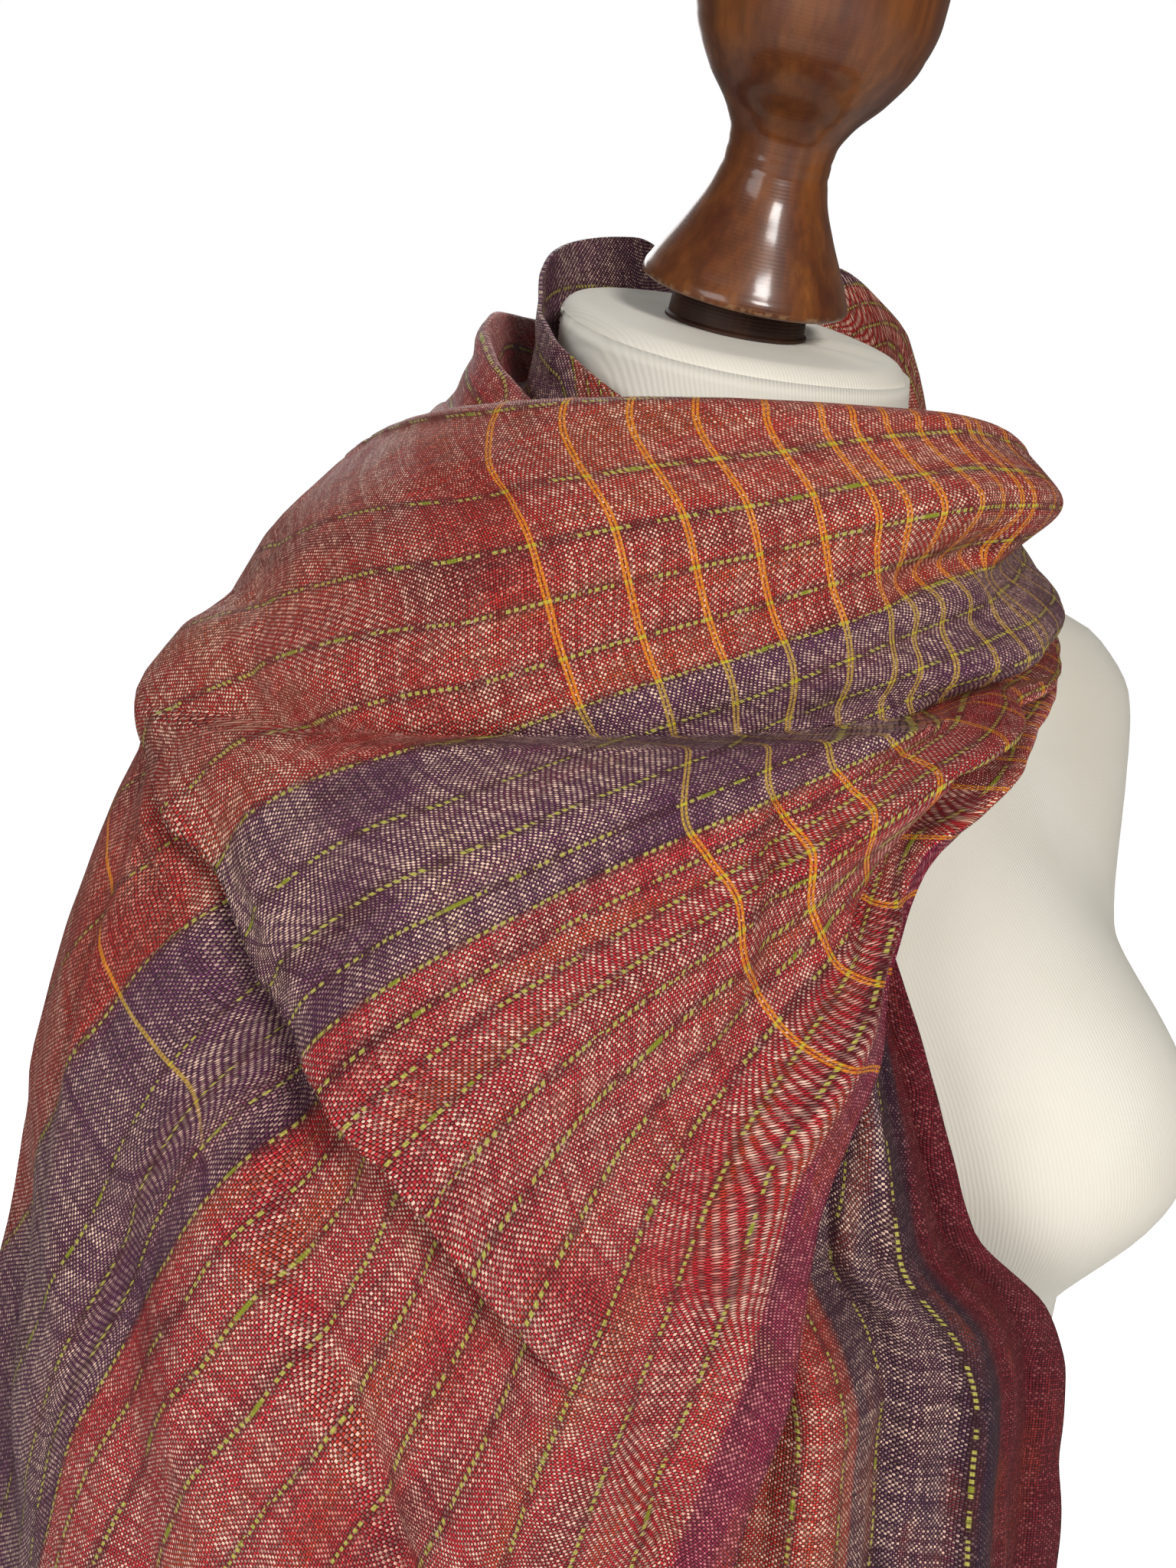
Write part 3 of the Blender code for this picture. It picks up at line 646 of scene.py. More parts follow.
# %% [markdown]
# ## The turned finial and its block
# The finial was cut on a lathe: one profile spun round an axis that leans forward.  The rim of
# the cone is thin and nearly sharp, and fine tool rings run round it.  A row of points along the
# profile is spun through a full turn, and then the whole is tipped onto the neck plate.

# %% Spin the wood
# Fine tool rings on the finial: height, depth, half width
TOOL_RINGS = (
    (0.0178, 0.00022, 0.0007),
    (0.0505, 0.00030, 0.0009),
    (0.0560, 0.00030, 0.0009),
    (0.0905, 0.00012, 0.0008),
)


def fine_profile():
    """The finial's profile, top to bottom, with close points and shallow tool rings."""
    heights = np.array(column(FINIAL_PROFILE, 0))
    radii = np.array(column(FINIAL_PROFILE, 1))
    side = heights > 0.0148
    at = np.linspace(0.0150, 0.1415, 110)
    radius = along(heights[side], radii[side], at)
    for height, depth, width in TOOL_RINGS:
        radius = radius - depth * np.exp(-((at - height) / width) ** 2)
    foot = [(0.0115, 0.0), (0.0115, 0.0260), (0.0115, 0.0335), (0.0119, 0.0342), (0.0127, 0.0346),
            (0.0138, 0.03445)]
    tip = [(0.1429, 0.0110), (0.1437, 0.0070), (0.14395, 0.0035), (0.1440, 0.0)]
    return foot + list(zip(at, radius)) + tip


def make_turned(name, profile, tilt, sides):
    """A profile of height and radius, spun and tipped forward on the neck plate."""
    sheet = bmesh.new()
    verts = [sheet.verts.new((radius, 0.0, height)) for height, radius in profile]
    edges = [sheet.edges.new(pair) for pair in zip(verts, verts[1:])]
    bmesh.ops.spin(sheet, geom=verts + edges, axis=(0, 0, 1), cent=(0, 0, 0),
                   angle=2 * math.pi, steps=sides, use_merge=True)
    bmesh.ops.remove_doubles(sheet, verts=sheet.verts, dist=0.00002)
    bmesh.ops.recalc_face_normals(sheet, faces=sheet.faces)
    turn = Matrix.Translation(Vector(PLATE_CENTRE)) @ Matrix.Rotation(tilt, 4, "X")
    bmesh.ops.transform(sheet, matrix=turn, verts=sheet.verts)
    return new_piece(name, sheet)


finial = make_turned("finial_varnished", fine_profile(), FINIAL_TILT, 96)
finial.data.set_sharp_from_angle(angle=math.radians(50))
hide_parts("finial")
block_profile = ((TOUCH_GAP, 0.0), (TOUCH_GAP, NECK_BLOCK_RADIUS + NECK_BLOCK_FLARE),
                 (0.0011, NECK_BLOCK_RADIUS + NECK_BLOCK_FLARE), (0.0017, NECK_BLOCK_RADIUS + 0.0006),
                 (NECK_BLOCK_HEIGHT - 0.0005, NECK_BLOCK_RADIUS),
                 (NECK_BLOCK_HEIGHT, NECK_BLOCK_RADIUS - 0.0004), (NECK_BLOCK_HEIGHT, 0.0))
block = make_turned("neck_block_bare", block_profile, NECK_TILT, 72)
block.data.set_sharp_from_angle(angle=math.radians(40))
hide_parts("neck_block")
print("finial", len(finial.data.polygons), "faces")

# %% [markdown]
# ## The cloth
# Cloth falls into folds of uneven length and depth, so each crease is listed in a table:
# where it starts and ends, how deep it is, how wide.  A pleat where one fold laps over the next
# is a ledge: the surface steps out sharply on one side of a line and eases back.

# %% Creases and pleats, listed one by one
# Angle and height of both ends, rise (negative for a hollow), half width
FINE_CREASES = (
    (-24, 0.556, -26, 0.505, -0.0022, 0.0050),
    (-20, 0.552, -19, 0.512, 0.0030, 0.0050),
    (-9, 0.540, -15, 0.522, -0.0070, 0.0040),
    (-14, 0.512, -22, 0.470, 0.0036, 0.0070),
    (-7, 0.530, -15, 0.500, 0.0040, 0.0045),
    (22, 0.629, -5, 0.611, -0.0095, 0.0065),
    (16, 0.640, -12, 0.630, 0.0030, 0.0060),
    (-69, 0.638, -54, 0.634, -0.0034, 0.0040),
    (-62, 0.650, -44, 0.626, 0.0022, 0.0060),
    (-72, 0.628, -50, 0.608, 0.0026, 0.0060),
    (-80, 0.616, -58, 0.598, -0.0034, 0.0060),
    (-84, 0.596, -66, 0.585, 0.0028, 0.0050),
    (-88, 0.584, -70, 0.576, -0.0026, 0.0040),
    (18, 0.604, -6, 0.596, -0.0030, 0.0050),
    (22, 0.594, 0, 0.584, 0.0030, 0.0050),
    (20, 0.612, -16, 0.604, 0.0026, 0.0050),
    (-40, 0.600, -33, 0.575, -0.0014, 0.0050),
    (-50, 0.552, -36, 0.470, -0.0020, 0.0080),
    (-42, 0.530, -31, 0.440, 0.0026, 0.0090),
    (-33, 0.500, -30, 0.400, -0.0028, 0.0060),
    (-38, 0.420, -30, 0.345, -0.0024, 0.0060),
    (-46, 0.470, -38, 0.400, 0.0022, 0.0060),
    (-70, 0.545, -59, 0.500, 0.0024, 0.0050),
    (-62, 0.540, -50, 0.480, -0.0016, 0.0060),
    (-66, 0.440, -60, 0.330, 0.0036, 0.0080),
    (-74, 0.470, -66, 0.330, -0.0030, 0.0080),
    (-84, 0.530, -76, 0.400, 0.0030, 0.0080),
    (-80, 0.560, -72, 0.500, 0.0024, 0.0040),
    (-90, 0.560, -82, 0.470, -0.0028, 0.0060),
    (-92, 0.430, -86, 0.290, -0.0028, 0.0080),
    (-80, 0.330, -74, 0.180, 0.0034, 0.0100),
    (-58, 0.320, -52, 0.160, -0.0036, 0.0080),
    (-50, 0.300, -46, 0.120, 0.0036, 0.0080),
    (-72, 0.230, -68, 0.120, -0.0032, 0.0080),
    (-98, 0.600, -88, 0.520, -0.0030, 0.0080),
    (-112, 0.590, -102, 0.440, 0.0038, 0.0090),
    (-118, 0.440, -108, 0.260, 0.0030, 0.0080),
    (-128, 0.560, -120, 0.400, -0.0036, 0.0090),
    (-136, 0.500, -126, 0.330, 0.0032, 0.0080),
    (-144, 0.450, -138, 0.330, -0.0028, 0.0070),
)
# A pleat's line, with the side that stands out on its right: rise of that side and how far it
# reaches, sink of the other side and how far that reaches, width of the step between them
PLEATS = (
    (((-92, 0.577), (-78, 0.5726), (-62, 0.569), (-51, 0.5683), (-43, 0.5684), (-32, 0.5693),
      (-23, 0.5714), (-14, 0.5732), (5, 0.5764), (16, 0.5825)), 0.0064, 0.016, 0.0056, 0.013, 0.0009),
    (((-39, 0.408), (-44, 0.433), (-46.6, 0.445), (-49, 0.4586), (-52, 0.471), (-58, 0.487),
      (-66, 0.506), (-72, 0.5276), (-80, 0.546), (-87, 0.558)), 0.0095, 0.022, 0.0110, 0.016, 0.0010),
    (((-76, 0.516), (-81.5, 0.531), (-87.5, 0.548)), 0.0014, 0.008, 0.0024, 0.006, 0.0010),
    (((-68, 0.486), (-64, 0.472), (-59, 0.435), (-55, 0.402), (-53, 0.366), (-52, 0.320)),
     0.0026, 0.018, 0.0034, 0.014, 0.0020),
    (((-24, 0.560), (-25, 0.547), (-26, 0.512), (-31, 0.488)), 0.0026, 0.014, 0.0038, 0.012,
     0.0024),
    (((22, 0.588), (10, 0.574), (-3, 0.5626), (-8, 0.5458), (-13.4, 0.5265), (-17, 0.519)),
     0.0036, 0.016, 0.0048, 0.012, 0.0011),
    (((-40, 0.446), (-36, 0.405), (-34, 0.360)), 0.0018, 0.014, 0.0022, 0.010, 0.0022),
)
# The pleats are laid out on a cylinder of this radius
PLEAT_RADIUS = 0.18
# Creases of the tail and the loop: first and last place along, place across at both, rise, half
# width across
TAIL_CREASES = (
    (0.10, 0.95, 0.075, 0.060, -0.0022, 0.016),
    (0.30, 1.00, 0.135, 0.120, 0.0026, 0.018),
    (0.00, 0.80, 0.250, 0.215, -0.0034, 0.018),
    (0.45, 1.00, 0.300, 0.260, 0.0030, 0.018),
    (0.00, 0.70, 0.380, 0.340, 0.0034, 0.020),
    (0.20, 0.95, 0.500, 0.480, -0.0030, 0.020),
    (0.00, 0.60, 0.640, 0.620, 0.0030, 0.022),
    (0.10, 0.90, 0.770, 0.780, -0.0032, 0.022),
    (0.00, 0.50, 0.930, 0.910, 0.0024, 0.020),
)
LOOP_CREASES = (
    (0.10, 0.60, 0.060, 0.085, -0.0009, 0.020),
    (0.35, 0.80, 0.120, 0.150, 0.0010, 0.018),
    (0.20, 0.75, 0.440, 0.420, -0.0018, 0.020),
    (0.30, 0.95, 0.620, 0.560, 0.0020, 0.024),
    (0.15, 0.85, 0.820, 0.760, -0.0022, 0.024),
    (0.25, 0.70, 0.930, 0.920, 0.0018, 0.020),
)


def beside(degrees, height, line):
    """Distance from a line of places, above zero on its right, and the place along it."""
    px, pz = np.radians(degrees) * PLEAT_RADIUS, np.asarray(height)
    points = [(math.radians(angle) * PLEAT_RADIUS, up) for angle, up in line]
    nearest = np.full(px.shape, math.inf)
    side, place_along = np.zeros(px.shape), np.zeros(px.shape)
    for number, ((ax, az), (bx, bz)) in enumerate(zip(points, points[1:])):
        t, cross = from_line(px, pz, ax, az, bx, bz)
        inner = np.clip(t, 0.0, 1.0)
        gap = np.hypot(px - ax - inner * (bx - ax), pz - az - inner * (bz - az))
        closer = gap < nearest
        nearest = np.where(closer, gap, nearest)
        side = np.where(closer, np.sign(cross), side)
        place_along = np.where(closer, (number + t) / (len(points) - 1), place_along)
    return nearest * side, place_along


def pleat_side(degrees, height, line):
    """Distance from a pleat's slightly wavy line and the place along it."""
    off, t = beside(degrees, height, line)
    return off + 0.0012 * np.sin(t * 9.0 + line[0][1] * 40), t


def ledge(degrees, height, pleat):
    """The step of a pleat: one side of its line stands out, the other lies behind."""
    line, rise, rise_reach, sink, sink_reach, step = pleat
    off, t = pleat_side(degrees, height, line)
    out = 0.5 + 0.5 * np.tanh(off / step)
    shape = (out * rise * np.exp(-np.abs(off) / rise_reach)
             - (1 - out) * sink * np.exp(-(np.abs(off) / sink_reach) ** 1.6)
             - 0.45 * sink * np.exp(-((off + 1.6 * step) / (1.2 * step)) ** 2))
    return shape * ease(t / 0.14) * ease((1.0 - t) / 0.14)


def drape_details(station, across):
    """Fine folds of the outer drape, on top of the folds that the solid has."""
    seen = np.maximum(across, DRAPE_LINES_ACROSS[0])
    degrees, height = drape_lines(station, seen)
    rise = np.zeros_like(degrees)
    for a0, z0, a1, z1, size, half_width in FINE_CREASES:
        rise = rise + size * trough(degrees, height, a0, z0, a1, z1, half_width)
    for pleat in PLEATS:
        rise = rise + ledge(degrees, height, pleat)
    visible = ease((across - DRAPE_LINES_ACROSS[0] + 0.04) / 0.08)
    return rise * visible * ease(station / 0.9)


def strip_details(share, across, creases):
    """Fine folds that run along the tail or the loop."""
    rise = np.zeros(np.broadcast_shapes(share.shape, across.shape))
    for first, final, start, end, size, half_width in creases:
        t = (share - first) / (final - first)
        centre = start + (end - start) * t + 0.012 * np.sin(7.0 * t + 9.0 * start)
        fade = ease(t / 0.25) * ease((1.0 - t) / 0.3)
        rise = rise + size * fade * np.exp(-((across - centre) / half_width) ** 2)
    return rise * ease(share / 0.04) * ease((1 - share) / 0.06)


def crumple(first, second, size, seed):
    """Soft unevenness of hand-woven cloth: a few long waves at seeded slants."""
    dice = np.random.default_rng(seed)
    total = 0.0
    for _ in range(12):
        slant, turn = dice.uniform(0, math.pi), dice.uniform(0, 2 * math.pi)
        pace = 2 * math.pi / dice.uniform(0.014, 0.060)
        total = total + dice.uniform(0.4, 1.0) * np.sin(
            pace * (first * math.cos(slant) + second * math.sin(slant)) + turn)
    return size * total / 3.4


# %% The strip with few rows, pushed clear exactly as in the solid
def tree_of(item):
    """A search tree of a piece's finished surface."""
    bpy.context.view_layer.update()
    mesh = item.evaluated_get(bpy.context.evaluated_depsgraph_get()).to_mesh()
    return BVHTree.FromPolygons([vert.co for vert in mesh.vertices],
                                [tuple(face.vertices) for face in mesh.polygons])


LAST_STATION = len(DRAPE_STATIONS) - 1
STRETCHES = (
    (tail, (0.0, 1.0), TAIL_ROWS, TAIL_LENGTH, (0.0, CORNER_GAP)),
    (loop, (0.0, 1.0), LOOP_ROWS, LOOP_LENGTH, (CORNER_GAP, SHOULDER_GAP)),
    (drape, (0.0, SPLIT_STATION), FRONT_ROWS, STATION_LENGTH, (SHOULDER_GAP, CREASE_GAP)),
    (drape, (SPLIT_STATION, LAST_STATION), BACK_ROWS, STATION_LENGTH, (CREASE_GAP, 0.0)),
)
coarse_across = np.array(ACROSS_ROWS)
coarse_rows = [stretch_rows(*ends, count, length, gaps) for _, ends, count, length, gaps
               in STRETCHES]
raw = [shape(rows, coarse_across[None]) for (shape, *_), rows in zip(STRETCHES, coarse_rows)]
splits = np.cumsum([len(rows) for rows in coarse_rows])[:-1]
cad_trees = {name: tree_of(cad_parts[name]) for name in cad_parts}
cleared = clear_of(np.concatenate(raw), [cad_trees["form_torso"]], FORM_GAP)
cleared = np.split(cleared, splits)
outer = np.concatenate(cleared[2:])
outer_rows = np.concatenate(coarse_rows[2:])
rolled = sum(place_across < DRAPE_LINES_ACROSS[0] for place_across in ACROSS_ROWS)
outer = clear_of(outer, [cad_trees["under_tail"], cad_trees["neck_loop"]], LAYER_GAP, rolled,
                 ease(outer_rows / CLEAR_START))
cleared = cleared[:2] + [outer]
raw = raw[:2] + [np.concatenate(raw[2:])]
PUSH_ROWS = [coarse_rows[0][:, 0], coarse_rows[1][:, 0], outer_rows[:, 0]]
PUSHES = [np.linalg.norm(moved - start, axis=-1) for moved, start in zip(cleared, raw)]
print("largest push", round(float(max(push.max() for push in PUSHES)) * 1000, 1), "mm")

# %% [markdown]
# Each stretch becomes a grid of a few millimetres a cell.  The threads matter more than the grid:
# the warp runs along the strip, the weft across it, and on the drape the weft lags behind where
# the pleat has swallowed some of the cloth.  Every point therefore also gets its own place in the
# cloth, in metres along and across, from which the stripes and thread lines are drawn.

# %% Fine rows and columns
# Name of the piece, its solids, rows, columns, start along the whole strip and metres per unit
PIECES = (
    ("silk_under_tail", ("under_tail",), 172, 160, 0.0, TAIL_LENGTH),
    ("silk_neck_loop", ("neck_loop",), 146, 165, TAIL_LENGTH, LOOP_LENGTH),
    ("silk_drape", ("front_drape", "back_fall"), 282, 168, TAIL_LENGTH + LOOP_LENGTH,
     STATION_LENGTH),
)
FINE_WALL = 0.0014
SEAM_SHARE = 0.0003
# Place across at which the first pleat crosses each station
PLEAT_STATIONS = (0.0, 1.2, 1.7, 2.4, 2.9, 3.4, 4.0, 4.5, 5.3, 6.1, 7.0, 8.0)
PLEAT_ACROSS = (0.90, 0.74, 0.61, 0.49, 0.46, 0.44, 0.41, 0.38, 0.35, 0.30, 0.28, 0.27)
# The dyed band's two edges, at 0.37 and 0.53 of the cloth, drift on the fallen end
DYE_STATIONS = (0.0, 2.0, 3.0, 4.6, 5.9, 6.6, 7.3, 8.3, 10.0)
DYE_TOP = (0.200, 0.205, 0.229, 0.249, 0.245, 0.235, 0.220, 0.200, 0.200)
DYE_UPPER = (0.370, 0.370, 0.370, 0.374, 0.343, 0.336, 0.328, 0.305, 0.300)
DYE_LOWER = (0.530, 0.530, 0.530, 0.529, 0.520, 0.518, 0.480, 0.420, 0.410)
# On the fallen front end much of the width is tucked into folds, so what shows is the selvedge
# side: place across the piece and the place in the cloth that lies there
TAIL_SPREAD = (0.0, 0.16, 0.22, 0.39, 0.60, 1.0)
TAIL_CLOTH = (0.0, 0.046, 0.082, 0.143, 0.285, 0.60)
# How far the weft lags behind, in stations, by place across
LAG_ACROSS = (0.0, 0.2, 0.267, 0.33, 0.40, 0.44, 0.50, 0.57, 0.65, 0.75, 0.85, 1.0)
LAG = (0.0, 0.0, 0.25, 0.34, 0.50, 0.58, 0.66, 0.78, 0.85, 0.70, 0.63, 0.86)
PLEAT_LAG = 0.50
# Where the tail opens out to its full width, and how far the loop's selvedge is turned in
TAIL_OPENS = 0.62
LOOP_TURNED_IN = 0.38
# Size of the tables of thread distances, and the step between rows past the end of the cloth
THREAD_ROWS, THREAD_COLUMNS = 111, 91
PAST_END_STEP = 0.0096
STATIONS_PAST_END = 1.5
CRUMPLE_HEIGHT = 0.0006
CRUMPLE_SEED = 11
SHEET_GAP = 0.0016


def spread(density, count):
    """Places from 0 to 1 that lie closer together where the density is higher."""
    even = np.linspace(0.0, 1.0, len(density))
    total = np.concatenate([[0.0], np.cumsum((density[1:] + density[:-1]) / 2)])
    return np.interp(np.linspace(0.0, 1.0, count), total / total[-1], even)


def fine_places(number):
    """Rows and columns of one piece, closer together at pleats and at the rolled edge."""
    rows, columns = PIECES[number][2:4]
    even = np.linspace(0.0, 1.0, 801)
    if number < 2:
        places = np.linspace(SEAM_SHARE if number else 0.0, 1.0 - SEAM_SHARE, rows)[:, None]
        return np.broadcast_arrays(places, np.linspace(0.0, 1.0, columns)[None])
    first, final = SEAM_SHARE * 6, float(LAST_STATION)
    station = first + (final - first) * spread(1.0 + 0.9 * np.exp(-((even * 10 - 6.0) / 0.8) ** 2)
                                               + 0.2 * (even < 0.7), rows)
    across = []
    for row in station:
        centre = np.interp(row, PLEAT_STATIONS, PLEAT_ACROSS)
        density = (1.0 + 2.2 * np.exp(-((even - centre) / 0.018) ** 2)
                   + 0.8 * np.exp(-((even - 0.19) / 0.03) ** 2) - 0.55 * (even < 0.14))
        across.append(spread(density, columns))
    return np.broadcast_arrays(station[:, None], np.array(across))


def read_table(table, row, column_at):
    """A table read between its entries, at fractional row and column numbers."""
    row = np.clip(row, 0.0, table.shape[0] - 1.0001)
    column_at = np.clip(column_at, 0.0, table.shape[1] - 1.0001)
    i, j = row.astype(int), column_at.astype(int)
    u, v = row - i, column_at - j
    return ((table[i, j] * (1 - v) + table[i, j + 1] * v) * (1 - u)
            + (table[i + 1, j] * (1 - v) + table[i + 1, j + 1] * v) * u)


def cloth_places(number, places, across):
    """Places in the cloth itself: along, in the piece's own units, and across, from 0 to 1."""
    if number == 0:
        opened = ease((places - TAIL_OPENS) / (1.0 - TAIL_OPENS))
        spread_out = np.interp(across, TAIL_SPREAD, TAIL_CLOTH)
        return places, across + (spread_out - across) * (1.0 - opened)
    if number == 1:
        turned_in = LOOP_TURNED_IN * ease(places / 0.2) * ease((1.0 - places) / 0.2)
        return places, across + turned_in * (1.0 - across)
    edges = [np.interp(places, DYE_STATIONS, edge) for edge in (DYE_TOP, DYE_UPPER, DYE_LOWER)]
    knots = np.stack([0 * edges[0], *edges, 0 * edges[0] + 1.0], -1)
    values = (0.0, *DRAPE_LINES_ACROSS)
    dyed = np.zeros_like(across)
    for k in range(4):
        t = (across - knots[..., k]) / (knots[..., k + 1] - knots[..., k])
        inside = (t >= 0) & (t <= 1)
        dyed = np.where(inside, values[k] + (values[k + 1] - values[k]) * t, dyed)
    degrees, height = drape_lines(places, across)
    below = pleat_side(degrees, height, PLEATS[0][0])[0]
    soft = 0.0005 + 0.035 * ease((-58.0 - degrees) / 40.0)
    hidden = PLEAT_LAG * (0.5 + 0.5 * np.tanh(below / soft)) * ease((across - 0.22) / 0.06)
    lag = (along(LAG_ACROSS, LAG, across) + hidden) * ease((places - 0.1) / 1.8)
    slant = 2.0 * np.clip(across - 0.36, -0.12, 0.25) * ease((places - 5.5) / 2.0)
    return places + lag * (1 - 0.35 * ease((places - 5.5) / 2)) + slant, dyed


def thread_tables(number):
    """Distances along and across a piece, measured on an even grid of its own surface."""
    last = 1.0 if number < 2 else LAST_STATION
    end = last if number < 2 else last + STATIONS_PAST_END
    places = np.linspace(0.0, end, THREAD_ROWS)[:, None]
    across = np.linspace(0.0, 1.0, THREAD_COLUMNS)[None]
    points = STRETCHES[number][0](np.minimum(places, last), across)
    down, over = (np.linalg.norm(np.diff(points, axis=axis), axis=-1) for axis in (0, 1))
    down = np.where(down < 1e-7, PAST_END_STEP, down)
    down, over = (np.insert(np.cumsum(steps, axis=axis), 0, 0.0, axis=axis)
                  for axis, steps in enumerate((down, over)))
    over = over - over[:, [THREAD_COLUMNS // 2]] + 0.5 * CLOTH_WIDTH
    return down, over, end


def fine_points(number):
    """A piece's points, their outward sides and the values of its UV maps."""
    begin, pace = PIECES[number][4:]
    shape = STRETCHES[number][0]
    places, across = fine_places(number)
    points = shape(places, across)
    push = read_table(PUSHES[number], np.interp(places, PUSH_ROWS[number],
                                                np.arange(len(PUSH_ROWS[number]))),
                      np.interp(across, coarse_across, np.arange(len(coarse_across))))
    wefts, dyed = cloth_places(number, places, across)
    down, over, end = thread_tables(number)
    row = places / end * (THREAD_ROWS - 1)
    side = across * (THREAD_COLUMNS - 1)
    threads = read_table(down, row, side) + (wefts - places) * pace, read_table(over, row, side)
    scale_down = np.gradient(down, axis=0) * (THREAD_ROWS - 1) / end / pace
    local_over = (np.gradient(threads[1], axis=1)
                  / np.maximum(np.gradient(dyed * CLOTH_WIDTH, axis=1), 1e-6))
    stretch = read_table(scale_down, row, side), np.clip(local_over, 0.2, 3.0)
    details = (drape_details(places, across) if shape is drape else strip_details(
        places, across, TAIL_CREASES if shape is tail else LOOP_CREASES))
    push = push + details + crumple(*threads, CRUMPLE_HEIGHT, CRUMPLE_SEED)
    outward = outward_of(points)[1]
    maps = {"Cloth": (begin + wefts * pace, dyed * CLOTH_WIDTH), "Threads": threads,
            "Stretch": stretch}
    return points + outward * push[..., None], outward, maps


def keep_out(points, outward, trees, gap):
    """Lift single points that would sink into the layers below."""
    lift = push_past(points, outward, trees, gap)
    soft = window(window(lift, 2, np.max), 2, np.mean)
    return points + outward * np.maximum(soft, lift)[..., None]


def set_uv(mesh, name, first, second):
    """Store a pair of values per vertex as a UV map."""
    layer = mesh.uv_layers.new(name=name)
    corner = np.zeros(len(mesh.loops), int)
    mesh.loops.foreach_get("vertex_index", corner)
    pairs = np.stack([first.reshape(-1)[corner], second.reshape(-1)[corner]], -1)
    layer.data.foreach_set("uv", pairs.reshape(-1))


def make_cloth(number, trees):
    """One piece of the shawl: a fine sheet with its places in the cloth and a thin wall."""
    name, solids = PIECES[number][:2]
    points, outward, maps = fine_points(number)
    points = keep_out(points, outward, trees, SHEET_GAP)
    sheet = grid_sheet(*points.shape[:2])
    move_vertices(sheet, points)
    item = new_piece(name, sheet)
    for label, (first, second) in maps.items():
        set_uv(item.data, label, first, second)
    wall = item.modifiers.new("Wall", "SOLIDIFY")
    wall.thickness = FINE_WALL
    wall.offset = 0.0
    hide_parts(*solids)
    area = sum(face.area for face in item.data.polygons)
    print(name, len(item.data.polygons), "faces,", round(area, 3), "square metres")
    return item, area


# %% Make the three sheets
under_tail, tail_area = make_cloth(0, [tree_of(torso)])
neck_loop, loop_area = make_cloth(1, [tree_of(torso)])
outer_drape, drape_area = make_cloth(2, [tree_of(torso), tree_of(under_tail)])

# %% [markdown]
# ## Materials
# Arithmetic on a wire, an output of a node, adds a Math node, so the sums below read like plain
# sums.  The plain weave is a node group of its own, which puts out masks and heights.

# %% Helpers for shader nodes
class Wire:
    """A node's output; sums and products of wires are Math nodes in the same tree."""

    def __init__(self, socket):
        self.socket, self.tree = socket, socket.id_data

    def __add__(self, other):
        return maths("ADD", self, other)

    def __sub__(self, other):
        return maths("SUBTRACT", self, other)

    def __rsub__(self, other):
        return maths("SUBTRACT", other, self)

    def __mul__(self, other):
        return maths("MULTIPLY", self, other)

    def __truediv__(self, other):
        return maths("DIVIDE", self, other)

    def step(self, low, high, out_low=0.0, out_high=1.0):
        """A smooth step between two values while this one goes from low to high."""
        return make_node(self.tree, "MapRange", (self, low, high, out_low, out_high),
                         interpolation_type="SMOOTHSTEP")[0]


def plug(tree, socket, value):
    """Link a wire to an input, or set the input's own value."""
    if isinstance(value, Wire):
        tree.links.new(value.socket, socket)
    else:
        socket.default_value = value


def make_node(tree, kind, inputs=(), **settings):
    """The outputs of a new node, by number and by name; its inputs are given either way too."""
    node = tree.nodes.new("ShaderNode" + kind)
    for key, value in settings.items():
        setattr(node, key, value)
    for key, value in inputs.items() if isinstance(inputs, dict) else enumerate(inputs):
        plug(tree, node.inputs[key], value)
    return {key: Wire(socket) for number, socket in enumerate(node.outputs)
            for key in (number, socket.name)}


def maths(operation, first, second=0.0):
    """One Math node's value."""
    tree = (first if isinstance(first, Wire) else second).tree
    return make_node(tree, "Math", (first, second), operation=operation)[0]


def wave(value, length, shift=None):
    """A sine wave with crests that are the given length apart."""
    turn = value * (2 * math.pi / length)
    return maths("SINE", turn if shift is None else turn + shift)


def blend_colour(share, first, second, mode="MIX"):
    """One Mix node on colours, each a wire or its red, green and blue."""
    tree = next(value.tree for value in (share, first, second) if isinstance(value, Wire))
    first, second = (value if isinstance(value, Wire) else (*value, 1.0) for value in (first, second))
    return make_node(tree, "Mix", {0: share, 6: first, 7: second}, data_type="RGBA",
                     blend_type=mode)[2]


def shaded(colour, shade):
    """A colour made lighter or darker by a value."""
    grey = make_node(shade.tree, "CombineColor", (shade, shade, shade))[0]
    return blend_colour(1.0, colour, grey, "MULTIPLY")


def noise(vector, scale, detail=2.0, roughness=0.5):
    """A noise value; three scales stretch it."""
    if isinstance(scale, tuple):
        vector, scale = make_node(vector.tree, "Mapping", {0: vector, "Scale": scale})[0], 1.0
    return make_node(vector.tree, "TexNoise", {"Vector": vector, "Scale": scale, "Detail": detail,
                                               "Roughness": roughness})["Fac"]


def new_material(name):
    """A material with an empty Principled shader."""
    material = bpy.data.materials.new(name)
    material.use_nodes = True
    tree = material.node_tree
    return material, tree, tree.nodes["Principled BSDF"]


def finish_shader(shader, colour, relief, strength, depth, **values):
    """Colour, bump and plain values of a Principled shader."""
    tree = shader.id_data
    bump = make_node(tree, "Bump", {"Height": relief, "Strength": strength, "Distance": depth})[0]
    for label, value in {"Base_Color": colour, "Normal": bump, **values}.items():
        plug(tree, shader.inputs[label.replace("_", " ")], value)
